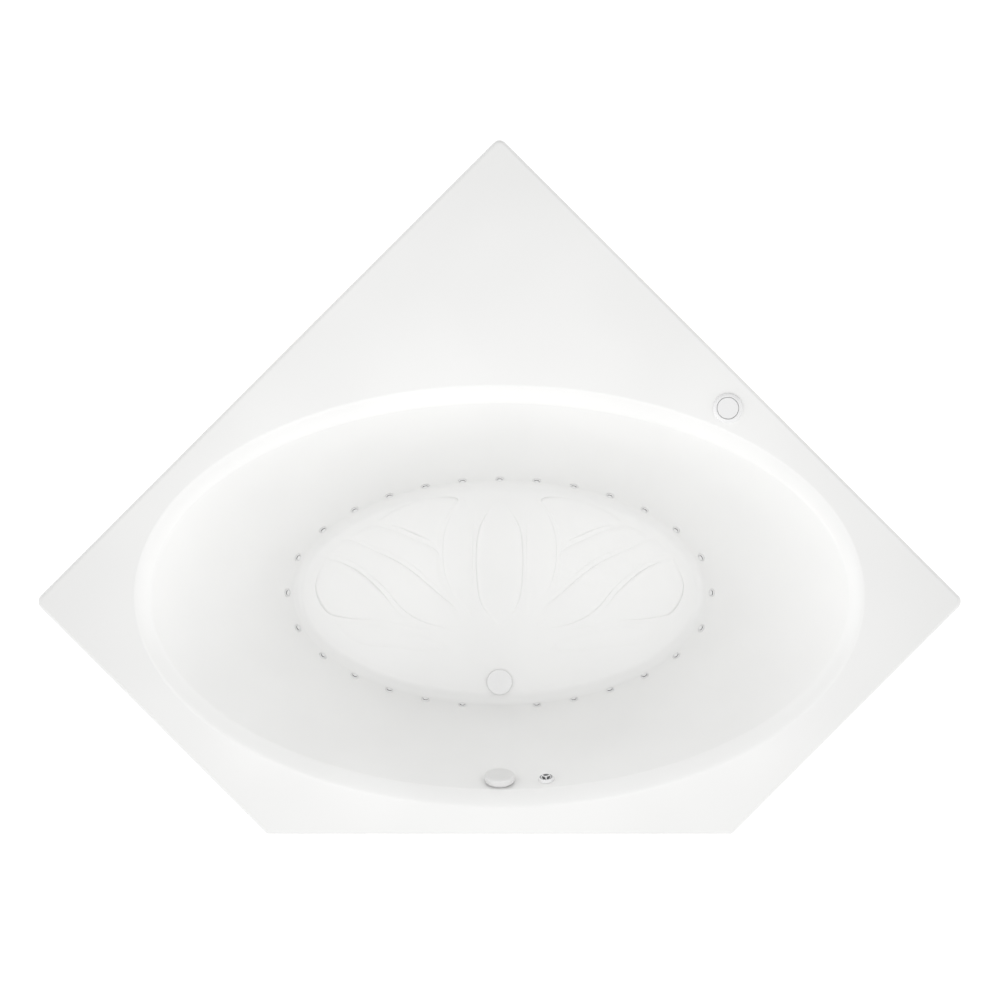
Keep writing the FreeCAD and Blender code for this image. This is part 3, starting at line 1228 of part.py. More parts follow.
# --- Outlet nozzle -----------------------------------------------------------------------------------
def make_nozzle():
    """A small outlet: a ball with a spoked port that swivels in a housing through the wall."""
    end, tail = "nozzle_shank_end", "(nozzle_shank_end + nozzle_inlet_length)"
    bore = "nozzle_inlet_radius - shoe_wall + 1"
    snug = "nozzle_ball_radius + running_clearance"
    room = "nozzle_ball_height - nozzle_ball_radius - 6"
    shell = turned("nozzle_turned", (bore, f"-{tail}"), ("nozzle_inlet_radius", f"-{tail}"),
                   ("nozzle_inlet_radius", f"-{end}"), ("nozzle_shank_radius", f"-{end}"),
                   ("nozzle_shank_radius", "fitting_seat"),
                   ("nozzle_flange_radius", "fitting_seat"),
                   ("nozzle_flange_radius", "nozzle_collar_depth - 1.5"),
                   ("nozzle_flange_radius - 1.5", "nozzle_collar_depth"),
                   ("nozzle_port", "nozzle_collar_depth"), ("nozzle_port", "nozzle_ball_height"),
                   (snug, "nozzle_ball_height"), (snug, room), (bore, room))
    hollow = doc.addObject("Part::Sphere", "nozzle_hollow")
    bind(hollow, Radius=snug)
    place(hollow, z="nozzle_ball_height")
    housing = cut("nozzle_housing", shell, hollow)
    keep(placed(housing, NOZZLE_SEAT), "nozzle_housing")
    seat = turned("nozzle_seat_turned", ("nozzle_port + 1", f"{room} + 0.3"),
                  ("nozzle_ball_radius", f"{room} + 0.3"),
                  ("nozzle_ball_radius", "nozzle_ball_height - nozzle_ball_radius / 2"),
                  ("nozzle_port + 1", "nozzle_ball_height - nozzle_ball_radius / 2"))
    seat_hollow = doc.addObject("Part::Sphere", "nozzle_seat_hollow")
    bind(seat_hollow, Radius=snug)
    place(seat_hollow, z="nozzle_ball_height")
    keep(placed(cut("nozzle_seat", seat, seat_hollow), NOZZLE_SEAT), "nozzle_seat")
    centre = V(0, 0, size.nozzle_ball_height)
    radius = size.nozzle_ball_radius
    ball = Part.makeSphere(radius, centre).common(
        Part.makeCylinder(radius, 1.85 * radius, centre - V(0, 0, radius)))
    port = Part.makeCylinder(size.nozzle_port, 2 * radius, centre - V(0, 0, radius))
    ball = ball.cut(port)
    spokes = []
    for number in range(3):
        spoke = Part.makeBox(size.nozzle_port + 0.5, size.spoke_width, 4,
                             V(0, -size.spoke_width / 2, size.nozzle_ball_height + radius * 0.45))
        spoke.rotate(V(0, 0, 0), UP, 120 * number + 90)
        spokes.append(spoke.common(Part.makeSphere(radius - size.running_clearance, centre)))
    hub = Part.makeCylinder(2.6, 5, V(0, 0, size.nozzle_ball_height + radius * 0.45))
    ball = ball.fuse(spokes + [hub]).removeSplitter()
    look_up = FreeCAD.Rotation(V(1, 0, 0), size.nozzle_rest_tilt)
    turn = FreeCAD.Placement(V(0, 0, 0), look_up, centre)
    keep(feature("nozzle_ball", ball, NOZZLE_SEAT.multiply(turn)), "nozzle_ball")
    under = "-skin - bond_line"
    clamp = f"{under} - gasket_thick"
    gasket = ring("nozzle_gasket", "nozzle_shank_radius + thread_clearance",
                  "nozzle_shank_radius + gasket_margin", clamp, under)
    keep(placed(gasket, NOZZLE_SEAT), "nozzle_gasket")
    nut = hex_nut("nozzle_nut", "3 * nozzle_shank_radius",
                  "nozzle_shank_radius + thread_clearance", f"{clamp} - 1.5 * nut_thick", clamp)
    keep(placed(nut, NOZZLE_SEAT), "nozzle_nut")


# --- Push control ------------------------------------------------------------------------------------
def make_control():
    """The push control on the deck: flange and barrel, face with plunger, bellows, nut, gasket."""
    play = "control_face_radius + control_face_gap"
    bottom = "-control_barrel_length"
    top = "control_flange_height - 0.8"
    skirt = f"{top} - 6"
    shelf = f"{skirt} - control_travel - bond_line"
    guide = f"{shelf} - shoe_wall"
    flange = turned("control_turned", ("barb_radius / 2", f"{bottom} - 10"),
                    ("barb_radius", f"{bottom} - 10"), ("barb_radius", bottom),
                    ("control_barrel_radius", bottom), ("control_barrel_radius", "bond_line"),
                    ("control_flange_radius", "bond_line"), ("control_flange_radius", "1.5"),
                    ("control_flange_radius - 1.5", "control_flange_height - 2"),
                    ("control_flange_radius - 5", "control_flange_height - 0.6"),
                    (f"{play} + 1.2", "control_flange_height"),
                    (play, "control_flange_height - 1.2"), (play, shelf),
                    ("plunger_radius + running_clearance", shelf),
                    ("plunger_radius + running_clearance", guide), (play, guide),
                    (play, f"{bottom} + 3"), ("barb_radius / 2", f"{bottom} + 3"))
    face = turned("control_face", ("0", f"{guide} - 2"), ("plunger_radius", f"{guide} - 2"),
                  ("plunger_radius", skirt), ("control_face_radius", skirt),
                  ("control_face_radius", f"{top} - 1.2"), ("control_face_radius - 1.2", top),
                  ("0", top))
    low, high = f"{bottom} + 3", f"{guide} - 2 - bond_line"
    folds = 4
    rim = []
    for number in range(folds):
        share = f"(({high}) - ({low})) / {folds}"
        rim.append(("plunger_radius + 2", f"({low}) + {number} * {share}"))
        rim.append(("plunger_radius + 6", f"({low}) + {number + 0.5} * {share}"))
    rim.append(("plunger_radius + 2", high))
    bellows = turned("control_bellows", ("barb_radius", low), *rim, ("barb_radius", high))
    under = "-skin - bond_line"
    clamp = f"{under} - gasket_thick"
    gasket = ring("control_gasket", "control_barrel_radius + thread_clearance",
                  "control_barrel_radius + gasket_margin", clamp, under)
    nut = hex_nut("control_nut", "2.5 * control_barrel_radius",
                  "control_barrel_radius + thread_clearance", f"{clamp} - 1.5 * nut_thick", clamp)
    for thing, label in ((flange, "control_flange"), (face, "control_face"),
                         (bellows, "control_bellows"), (gasket, "control_gasket"),
                         (nut, "control_nut")):
        keep(place(thing, "control_right", "control_place", "overall_height"), label)
    make_air_tube()


def make_air_tube():
    """The small air tube from the push control to the switch barb on the blower's cover."""
    start = V(size.control_right, size.control_place,
              size.overall_height - size.control_barrel_length - 1)
    level = size.blower_top + size.cover_height - 24
    barb = V(size.cover_radius - size.blower_left, size.blower_place, level)
    tail = turned("air_barb_turned", ("barb_radius / 2", "-6"), ("4", "-6"), ("4", "-4"),
                  ("barb_radius", "-4"), ("barb_radius", "12"), ("barb_radius / 2", "12"))
    keep(placed(tail, FreeCAD.Placement(barb, EAST)), "air_barb")
    end = barb + V(1, 0, 0)
    points = [start, start + V(0, 0, -46), start + V(-38, 30, -78), start + V(-104, 62, -74),
              start + V(-176, 92, -82), start + V(-252, 124, -92), start + V(-330, 158, -112),
              start + V(-404, 182, -140), start + V(-474, 196, -182), end + V(54, 0, 0), end]
    print("air tube")
    path = free_route(points)
    tube = swept(path, size.air_tube_radius).cut(swept(path, size.air_tube_bore))
    section = math.pi * (size.air_tube_radius ** 2 - size.air_tube_bore ** 2)
    share = tube.Volume / (section * path.Length)
    print(f"  {path.Length:.0f} mm long, volume {share:.4f} of section times length")
    keep(feature("air_tube", tube), "air_tube")


# --- Build, check and write ----------------------------------------------------------------------------
def check_and_write():
    """Stop on any failed object or bad shape; then write each sub-part to its own file."""
    doc.recompute()
    for thing in doc.Objects:
        if "Invalid" in thing.State or "Error" in thing.State:
            raise RuntimeError(f"{thing.Name} failed: {thing.State}")
    for label, thing in parts.items():
        if thing.Shape.isNull() or not thing.Shape.isValid() or not thing.Shape.Solids:
            raise RuntimeError(f"{label} has no valid solid")
    os.makedirs("parts", exist_ok=True)
    for label, thing in parts.items():
        thing.Shape.exportStep(f"parts/{label}.step")
        volume = thing.Shape.Volume / 1000
        print(f"{label}: {len(thing.Shape.Solids)} solid(s), {volume:.1f} cm3")
    print(f"{len(parts)} sub-parts written")


make_shell()
make_base()
make_rails()
make_injectors()
make_manifold()
make_blower(make_supply())
make_waste()
make_pipes()
make_overflow()
make_cable()
make_nozzle()
make_control()
check_and_write()
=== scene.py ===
# %% [markdown]
# # Dressing a corner bath
# The frame is the engineered model of a drop-in corner bath: every piece is there, at its real
# size and in its real place. This notebook gives each surface the finish that its maker gives
# it, and swaps the pieces whose curves deserve a finer mesh for surfaces worked out with numpy.
# Lengths are written in millimetres and turned into metres where a mesh is made.

# %% Load the frame
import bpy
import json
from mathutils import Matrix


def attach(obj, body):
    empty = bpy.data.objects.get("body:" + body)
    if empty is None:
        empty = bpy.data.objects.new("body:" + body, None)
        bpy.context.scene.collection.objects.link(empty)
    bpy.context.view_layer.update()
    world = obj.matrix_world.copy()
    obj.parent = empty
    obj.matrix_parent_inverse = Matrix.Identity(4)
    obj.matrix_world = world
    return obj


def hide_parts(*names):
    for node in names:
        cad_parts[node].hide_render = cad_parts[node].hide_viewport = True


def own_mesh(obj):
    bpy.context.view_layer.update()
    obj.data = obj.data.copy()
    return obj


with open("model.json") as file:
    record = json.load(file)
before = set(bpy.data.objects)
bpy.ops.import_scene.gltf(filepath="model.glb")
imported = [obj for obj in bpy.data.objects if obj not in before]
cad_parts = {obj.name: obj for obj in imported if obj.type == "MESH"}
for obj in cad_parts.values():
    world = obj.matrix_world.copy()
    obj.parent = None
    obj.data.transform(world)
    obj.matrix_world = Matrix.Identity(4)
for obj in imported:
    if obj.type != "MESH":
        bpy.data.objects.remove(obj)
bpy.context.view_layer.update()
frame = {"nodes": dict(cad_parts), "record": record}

import json
import math

import bpy
import numpy as np
from mathutils import Vector
from mathutils.geometry import delaunay_2d_cdt

# %% [markdown]
# ## The camera
# The photograph looks straight down on the bath from high above, through a long lens. The back
# corner points up in the picture. A lens of 171 mm on a 36 mm wide sensor, 11 m above the deck,
# takes in 2.32 m of it.

# %% Camera
DECK = 584.0
CAMERA_HEIGHT = 11000.0
VIEW_WIDTH = 2317.0
camera_data = bpy.data.cameras.new("camera")
camera_data.sensor_width = 36.0
camera_data.lens = 36.0 * CAMERA_HEIGHT / VIEW_WIDTH
camera_data.clip_end = 100.0
camera = bpy.data.objects.new("camera", camera_data)
camera.location = (0.001, -0.030, (DECK + CAMERA_HEIGHT) / 1000)
bpy.context.scene.collection.objects.link(camera)
bpy.context.scene.camera = camera
print(f"camera: lens {camera_data.lens:.1f} mm, {camera.location.z:.2f} m above the floor")

# %% [markdown]
# ## Nodes and colours
# A colour is easiest to judge as a hex value off a screen, but a shader wants light in linear
# amounts. One function turns the first into the second. One more adds a node to a material,
# with its settings, values and links.


# %% Helpers for materials
def linear(hex_colour):
    """sRGB hex to linear: c/12.92 below 0.04045, else ((c + 0.055) / 1.055) to the power 2.4."""
    parts = np.array([int(hex_colour[i:i + 2], 16) / 255 for i in (1, 3, 5)])
    curve = np.where(parts <= 0.04045, parts / 12.92, ((parts + 0.055) / 1.055) ** 2.4)
    return (*curve.tolist(), 1.0)


def add(tree, kind, sockets=None, **settings):
    """A node of that kind: settings are its own properties, sockets its values or links."""
    node = tree.nodes.new("ShaderNode" + kind)
    for name, value in settings.items():
        setattr(node, name, value)
    for name, value in (sockets or {}).items():
        if isinstance(value, bpy.types.NodeSocket):
            tree.links.new(value, node.inputs[name])
        else:
            node.inputs[name].default_value = value
    return node


def finish(name, **values):
    """A new material with one Principled shader; returns the material, its tree and shader."""
    material = bpy.data.materials.new(name)
    material.use_nodes = True
    tree = material.node_tree
    tree.nodes.clear()
    shader = add(tree, "BsdfPrincipled", values)
    add(tree, "OutputMaterial", {"Surface": shader.outputs["BSDF"]})
    return material, tree, shader


def ramp(tree, factor, *stops):
    """A colour ramp through (place, hex colour) stops."""
    node = add(tree, "ValToRGB", {"Fac": factor})
    while len(node.color_ramp.elements) < len(stops):
        node.color_ramp.elements.new(0.5)
    for element, (spot, colour) in zip(node.color_ramp.elements, stops):
        element.position = spot
        element.color = linear(colour)
    return node.outputs["Color"]


# %% [markdown]
# ## Sanitary acrylic
# The shell is a sheet of cast acrylic, warmed until it sags and drawn into a mould by vacuum.
# Its face keeps the sheet's gloss, with the faintest orange peel left by the stretching. What
# the eye sees is a clean white, soft reflections of the room, and hardly any texture.

# %% Acrylic
acrylic, tree, shader = finish("cast_acrylic_vacuum_formed", **{
    "Base Color": linear("#f2f2f1"), "Roughness": 0.2, "IOR": 1.49})
where = add(tree, "TexCoord").outputs["Object"]
peel = add(tree, "TexNoise", {"Vector": where, "Scale": 1000 / 14, "Detail": 2.0})
tint = ramp(tree, add(tree, "TexNoise", {"Vector": where, "Scale": 1000 / 260, "Detail": 1.0}
                      ).outputs["Fac"], (0.3, "#f1f1f0"), (0.7, "#f4f4f3"))
tree.links.new(tint, shader.inputs["Base Color"])
bump = add(tree, "Bump", {"Strength": 0.04, "Distance": 0.0004, "Height": peel.outputs["Fac"]})
tree.links.new(bump.outputs["Normal"], shader.inputs["Normal"])
print("acrylic: orange peel every 14 mm, colour drift over 260 mm")

# %% [markdown]
# ## Moulded fittings and pipes
# The injectors, the stopper, the overflow knob, the spout and the push control are injection
# moulded in white ABS, a shade greyer than the bath and a little less glossy. The knob has a
# satin face and is a shade greyer again, which is painted shade for its steep face. The pipes
# are PVC and the nuts grey polypropylene. All of them get the same treatment: a slow drift
# between two shades, and a fine grain in the gloss.


# %% Moulded plastics
def moulded(name, colour, darker, roughness, grain):
    """A moulded plastic: two close shades in wide clouds, and a fine grain in gloss and bump."""
    material, tree, shader = finish(name, **{"Base Color": linear(colour), "IOR": 1.5})
    where = add(tree, "TexCoord").outputs["Object"]
    cloud = add(tree, "TexNoise", {"Vector": where, "Scale": 1000 / (40 * grain), "Detail": 2.0})
    tree.links.new(ramp(tree, cloud.outputs["Fac"], (0.35, darker), (0.65, colour)),
                   shader.inputs["Base Color"])
    fine = add(tree, "TexNoise", {"Vector": where, "Scale": 1000 / grain, "Detail": 3.0})
    rough = add(tree, "MapRange", {"Value": fine.outputs["Fac"], "To Min": roughness - 0.05,
                                   "To Max": roughness + 0.05})
    tree.links.new(rough.outputs["Result"], shader.inputs["Roughness"])
    bump = add(tree, "Bump", {"Strength": 0.15, "Distance": 0.0001,
                              "Height": fine.outputs["Fac"]})
    tree.links.new(bump.outputs["Normal"], shader.inputs["Normal"])
    return material


white_abs = moulded("white_abs_injection_moulded", "#f0f0f0", "#ededed", 0.26, 2.0)
white_pvc = moulded("white_pvc_extruded", "#eeede8", "#e6e5df", 0.34, 3.0)
grey_pp = moulded("grey_polypropylene_moulded", "#8e9194", "#7f8386", 0.42, 2.0)
black_abs = moulded("black_abs_spark_textured", "#242426", "#1b1b1d", 0.5, 1.2)
rubber = moulded("nitrile_rubber_matt", "#1d1d1d", "#161616", 0.72, 1.5)
# The knob's greyer white is painted shade: it darkens the knob's steep face.
knob_abs_painted_shade = moulded("white_abs_satin_painted_shade", "#e2e2e1", "#dededd", 0.34, 2.0)
# Grey of the spout's lining and wiper: painted shade that darkens the port and the gap round the
# ball.
liner_shade_grey = moulded("grey_liner_painted_shade", "#a4a5a6", "#9b9c9d", 0.5, 1.5)

# %% Clear hose
clear_pvc, tree, shader = finish("clear_soft_pvc_tube", **{
    "Base Color": linear("#d8dcdc"), "Roughness": 0.18, "IOR": 1.53,
    "Transmission Weight": 0.55})

# %% [markdown]
# ## Fibreglass
# Behind the acrylic the maker sprays chopped glass strands in resin, and rolls them down by
# hand. The cured skin is off-white with a green cast, lumpy, and full of short criss-crossed
# strands about 1.5 mm wide.

# %% Fibreglass
fibreglass, tree, shader = finish("chopped_strand_fibreglass", **{"IOR": 1.54})
where = add(tree, "TexCoord").outputs["Object"]
strands = []
for turn, (pitch, length) in enumerate(((3.2, 30), (2.6, 26), (3.6, 34))):
    laid = add(tree, "Mapping", {"Vector": where, "Rotation": (0.5 * turn, 0.9 * turn, 1.05 * turn),
                                 "Scale": (1000 / pitch, 1000 / length, 1000 / length)})
    strands.append(add(tree, "TexNoise", {"Vector": laid.outputs["Vector"], "Scale": 1.0,
                                          "Detail": 1.0, "Distortion": 0.6}).outputs["Fac"])
both = add(tree, "Math", {0: strands[0], 1: strands[1]}, operation="MAXIMUM")
mat = add(tree, "Math", {0: both.outputs[0], 1: strands[2]}, operation="MAXIMUM")
lumps = add(tree, "TexNoise", {"Vector": where, "Scale": 1000 / 45, "Detail": 2.0})
tree.links.new(ramp(tree, mat.outputs[0], (0.45, "#a9ab9a"), (0.62, "#c5c6b8"), (0.75, "#d9dacf")),
               shader.inputs["Base Color"])
tree.links.new(add(tree, "MapRange", {"Value": mat.outputs[0], "From Min": 0.4, "From Max": 0.8,
                                      "To Min": 0.3, "To Max": 0.6}).outputs["Result"],
               shader.inputs["Roughness"])
height = add(tree, "Math", {0: mat.outputs[0], 1: lumps.outputs["Fac"]}, operation="ADD")
bump = add(tree, "Bump", {"Strength": 0.7, "Distance": 0.0015, "Height": height.outputs[0]})
tree.links.new(bump.outputs["Normal"], shader.inputs["Normal"])
print("fibreglass: strands 2.6 to 3.6 mm apart, drawn coarser than the real 1.5 mm to show")

# %% [markdown]
# ## Timber
# The rails and bearers are planed softwood, so the grain runs along each one. The base board
# and the blower's shelf are plywood, with a long figure on their faces and their edges shaded
# from light to dark. A wave texture of scale s repeats every 2 pi / (20 s) metres, so the rings
# here are 31 mm apart and the plywood's bands 25 mm: both coarser than in real timber.


# %% Timber
RING_SCALE, PLY_SCALE = 10.0, 12.5


def wave_pitch(scale):
    """Millimetres from one wave of a wave texture to the next: 1000 * 2 pi / (20 s)."""
    return 1000 * 2 * math.pi / (20 * scale)


def softwood(name, heading):
    """Planed softwood whose grain runs along a heading in the plan, in radians from X."""
    material, tree, shader = finish(name, **{"Roughness": 0.55})
    where = add(tree, "TexCoord").outputs["Object"]
    along = add(tree, "Mapping", {"Vector": where, "Rotation": (0, 0, -heading)})
    run = add(tree, "Mapping", {"Vector": along.outputs["Vector"], "Scale": (0.06, 1, 1)})
    rings = add(tree, "TexWave", {"Vector": run.outputs["Vector"], "Scale": RING_SCALE,
                                  "Distortion": 9.0, "Detail": 2.0, "Detail Scale": 1.5},
                wave_type="RINGS", rings_direction="X")
    fibre = add(tree, "TexNoise", {"Vector": run.outputs["Vector"], "Scale": 1000 / 1.2,
                                   "Detail": 3.0})
    tone = add(tree, "Mix", {"Factor": 0.35, "A": rings.outputs["Fac"],
                             "B": fibre.outputs["Fac"]}, data_type="FLOAT")
    tree.links.new(ramp(tree, tone.outputs[0], (0.2, "#b98f5f"), (0.55, "#d8b483"),
                        (0.9, "#e7cba1")), shader.inputs["Base Color"])
    bump = add(tree, "Bump", {"Strength": 0.25, "Distance": 0.0004,
                              "Height": fibre.outputs["Fac"]})
    tree.links.new(bump.outputs["Normal"], shader.inputs["Normal"])
    return material


headings = {"back_left_rail": math.radians(45), "back_right_rail": math.radians(-45),
            "right_end_rail": math.radians(45), "left_end_rail": math.radians(-45),
            "front_rail": 0.0, "left_bearer": math.radians(90), "right_bearer": math.radians(90),
            "centre_bearer": math.radians(90)}
timber = {label: softwood(f"planed_softwood_{label}", heading)
          for label, heading in headings.items()}

plywood, tree, shader = finish("birch_plywood_nine_ply", **{"Roughness": 0.5})
where = add(tree, "TexCoord").outputs["Object"]
ply = add(tree, "TexWave", {"Vector": where, "Scale": PLY_SCALE, "Distortion": 0.0},
          wave_type="BANDS", bands_direction="Z", wave_profile="SIN")
run = add(tree, "Mapping", {"Vector": where, "Scale": (0.05, 1, 1)})
face = add(tree, "TexNoise", {"Vector": run.outputs["Vector"], "Scale": 1000 / 9, "Detail": 4.0,
                              "Distortion": 1.2})
upright = add(tree, "SeparateXYZ", {"Vector": add(tree, "NewGeometry").outputs["Normal"]})
flat = add(tree, "Math", {0: upright.outputs["Z"]}, operation="ABSOLUTE")
edge_colour = ramp(tree, ply.outputs["Fac"], (0.35, "#a67f52"), (0.65, "#dcc095"))
face_colour = ramp(tree, face.outputs["Fac"], (0.3, "#cfae7e"), (0.7, "#e2c89d"))
side = add(tree, "Mix", {"Factor": flat.outputs[0], "A": edge_colour, "B": face_colour},
           data_type="RGBA")
tree.links.new(side.outputs[2], shader.inputs["Base Color"])
print(f"timber: rings {wave_pitch(RING_SCALE):.0f} mm apart, "
      f"plywood bands {wave_pitch(PLY_SCALE):.0f} mm")


# %% [markdown]
# ## Metals
# The screws, the air barb and the valve's pin are zinc-plated steel, the impeller and the
# motor's case are cast aluminium, and the lift lever is brass. A metal's colour is the colour
# of its reflections.


# %% Metals
def metal(name, colour, worn, roughness, grain):
    """A bare metal: its colour and roughness drift by a noise of that grain."""
    material, tree, shader = finish(name, **{"Metallic": 1.0})
    where = add(tree, "TexCoord").outputs["Object"]
    cloud = add(tree, "TexNoise", {"Vector": where, "Scale": 1000 / grain, "Detail": 3.0})
    tree.links.new(ramp(tree, cloud.outputs["Fac"], (0.3, worn), (0.7, colour)),
                   shader.inputs["Base Color"])
    rough = add(tree, "MapRange", {"Value": cloud.outputs["Fac"], "To Min": roughness - 0.08,
                                   "To Max": roughness + 0.08})
    tree.links.new(rough.outputs["Result"], shader.inputs["Roughness"])
    return material


zinc = metal("zinc_plated_steel", "#c9cbcf", "#aeb1b6", 0.34, 4.0)
cast_aluminium = metal("cast_aluminium", "#c3c4c6", "#a4a6a9", 0.5, 3.0)
brass = metal("turned_brass", "#d9b36a", "#b98f4a", 0.3, 6.0)

# %% [markdown]
# ## The shape of the bath
# The well is a cone of ellipses: at each height its plan is an ellipse, and its half axes grow
# evenly from the floor to the deck. A ball of 35 mm rolled round the floor's edge leaves the
# cove, and one of 48 mm under the deck gives the rim its roll: between the lines where that
# ball touches, the rim is a slightly flatter band between two tighter turns. The deck is a
# 1524 mm square with its front corner cut off, stood on end, and its edge turns down into a
# 45 mm lip.

# %% Sizes of the shell, in millimetres
WALL_SIDE, CORNER_CUT = 1524.0, 762.0
HALF_SPAN, CUT_SPAN = WALL_SIDE / math.sqrt(2), CORNER_CUT / math.sqrt(2)
CORNER_ROUND, FRONT_ROUND, EDGE_ROUND, LIP_DEPTH = 19.0, 8.0, 9.0, 45.0
DECK_DEPTH = 2 * HALF_SPAN - CUT_SPAN
BACK = (DECK_DEPTH + CORNER_ROUND * (math.sqrt(2) - 1)) / 2
FRONT = BACK - DECK_DEPTH
SIDE_LEVEL = BACK - HALF_SPAN
WELL_SETBACK, FRONT_MARGIN, DECK_MARGIN = 551.0, 91.0, 86.0
MIDDLE = FRONT + WELL_SETBACK
FLOOR = 127.0
FLOOR_LONG, FLOOR_WIDE = 490.0, 262.0
MOUTH_WIDE = WELL_SETBACK - FRONT_MARGIN
MOUTH_LONG = math.sqrt((BACK - MIDDLE - math.sqrt(2) * DECK_MARGIN) ** 2 - MOUTH_WIDE ** 2)
LONG_SLOPE = (MOUTH_LONG - FLOOR_LONG) / (DECK - FLOOR)
WIDE_SLOPE = (MOUTH_WIDE - FLOOR_WIDE) / (DECK - FLOOR)
COVE, ROLL, CRISP, ACRYLIC = 35.0, 48.0, 0.36, 5.0
UP = np.array([0.0, 0.0, 1.0])
print(f"deck {2 * HALF_SPAN:.0f} x {DECK_DEPTH:.0f} mm, well mouth {2 * MOUTH_LONG:.0f} x "
      f"{2 * MOUTH_WIDE:.0f} mm")

# %% [markdown]
# ### The wall, and the balls that round it
# `wall` gives the points of the wall and the directions square to it. The centre of a ball that
# touches the wall lies on that direction, one radius off, so its height fixes how far up the
# wall it touches. A few rounds of correcting the height are enough.


# %% Wall and rolling ball
def wall(turn, height):
    """Point (a cos t, b sin t, z), a and b growing evenly with z, and the normal into the bath."""
    turn, height = np.broadcast_arrays(turn, height)
    long = FLOOR_LONG + LONG_SLOPE * (height - FLOOR)
    wide = FLOOR_WIDE + WIDE_SLOPE * (height - FLOOR)
    point = np.stack([long * np.cos(turn), MIDDLE + wide * np.sin(turn), height], -1)
    level = np.stack([-long * np.sin(turn), wide * np.cos(turn), np.zeros(turn.shape)], -1)
    climb = np.stack([LONG_SLOPE * np.cos(turn), WIDE_SLOPE * np.sin(turn),
                      np.ones(turn.shape)], -1)
    normal = np.cross(climb, level)
    return point, normal / np.linalg.norm(normal, axis=-1, keepdims=True)


def touch(turn, level, reach):
    """Height at which a ball resting on a level touches the wall: z = level + reach (1 - Nz)."""
    height = np.full(turn.shape, level)
    for _ in range(12):
        height = level + reach * (1 - wall(turn, height)[1][..., 2])
    return height


def swing(start, end, share):
    """Directions turned evenly from start to end: sin((1-s)w) and sin(sw) parts over sin w."""
    angle = np.arccos(np.clip((start * end).sum(-1), -1, 1))[..., None]
    share = np.asarray(share)[:, None, None]
    return (np.sin((1 - share) * angle) * start + np.sin(share * angle) * end) / np.sin(angle)


def rim_band(head, centre, head_normal, rows):
    """Cubic from the wall to the deck, (1-s)^3 A + 3(1-s)^2 s B + 3(1-s) s^2 C + s^3 D.

    A and D are where the ball touches, and B and C lie CRISP of the way from them to the sharp
    corner. A ball alone has CRISP near 0.6; a smaller share leaves a flatter band between two
    tighter turns, as the moulded rim has.
    """
    rise = head_normal[:, 2:]
    inward = head_normal - rise * UP
    inward /= np.linalg.norm(inward, axis=1, keepdims=True)
    corner = centre + ROLL * (head_normal + UP) / (1 + rise)
    end = centre + ROLL * UP
    lead, trail = head + CRISP * (corner - head), end + CRISP * (corner - end)
    share = np.linspace(0, 1, rows)[:, None, None]
    points = ((1 - share) ** 3 * head + 3 * (1 - share) ** 2 * share * lead
              + 3 * (1 - share) * share ** 2 * trail + share ** 3 * end)
    slope = ((1 - share) ** 2 * (lead - head) + 2 * (1 - share) * share * (trail - lead)
             + share ** 2 * (end - trail))
    normals = slope[..., 2:] * inward - (slope * inward).sum(-1, keepdims=True) * UP
    return points, normals / np.linalg.norm(normals, axis=-1, keepdims=True)


# %% [markdown]
# ### The deck's outline
# Each column of the mesh runs from the middle of the floor, up the wall and out over the deck
# to its edge. Where a column meets the outline is worked out from its heading. Extra columns
# are put where the outline turns a corner.


# %% Outline of the deck
def outline(headings):
    """Where rays from the well's middle meet the rounded outline, with the outward normals."""
    sharp = np.array([(0, BACK), (-HALF_SPAN, SIDE_LEVEL), (-CUT_SPAN, FRONT),
                      (CUT_SPAN, FRONT), (HALF_SPAN, SIDE_LEVEL)])
    rounds = np.array([CORNER_ROUND, CORNER_ROUND, FRONT_ROUND, FRONT_ROUND, CORNER_ROUND])
    along = np.roll(sharp, -1, 0) - sharp
    along /= np.linalg.norm(along, axis=1, keepdims=True)
    normal = np.stack([along[:, 1], -along[:, 0]], -1)
    before = np.roll(normal, 1, 0)
    half = (normal + before) / 2
    centre = sharp - half / (half ** 2).sum(1, keepdims=True) * rounds[:, None]
    share = np.linspace(0, 1, 9)
    arcs = swing(np.c_[before, np.zeros(5)], np.c_[normal, np.zeros(5)], share)[..., :2]
    points = centre + rounds[:, None] * arcs
    turns = np.unwrap(np.arctan2(points[..., 1] - MIDDLE, points[..., 0]), axis=0)
    low, high = turns[0] % (2 * np.pi), turns[-1] % (2 * np.pi)
    spare = 0.6 * 2 * np.pi / len(headings)
    free = np.ones(len(headings), bool)
    for start, end in zip(low, high):
        free &= (headings - start + spare) % (2 * np.pi) > (end - start) % (2 * np.pi) + 2 * spare
    rest = headings[free]
    side = np.argmin((rest[:, None] - high[None, :]) % (2 * np.pi), axis=1)
    ray = np.stack([np.cos(rest), np.sin(rest)], -1)
    reach = ((sharp[side] - (0, MIDDLE)) * normal[side]).sum(1) / (ray * normal[side]).sum(1)
    all_turns = np.r_[rest, turns.ravel() % (2 * np.pi)]
    order = np.argsort(all_turns)
    spots = np.r_[reach[:, None] * ray + (0, MIDDLE), points.reshape(-1, 2)][order]
    normals = np.r_[normal[side], arcs.reshape(-1, 2)][order]
    sizes = np.r_[np.full(len(rest), EDGE_ROUND), np.tile(rounds, len(share))][order]
    return all_turns[order], spots, normals, np.minimum(sizes, EDGE_ROUND)


COLUMNS = 480
even = np.arange(COLUMNS) * 2 * np.pi / COLUMNS
rim = wall(even, DECK)[0]
HEADINGS, EDGE, EDGE_NORMAL, EDGE_SIZE = outline(
    np.sort(np.arctan2(rim[:, 1] - MIDDLE, rim[:, 0]) % (2 * np.pi)))
TURNS = np.arctan2(np.sin(HEADINGS) / MOUTH_WIDE, np.cos(HEADINGS) / MOUTH_LONG)
print(f"{len(TURNS)} columns round the bath, {len(TURNS) - COLUMNS} more than the even ones")

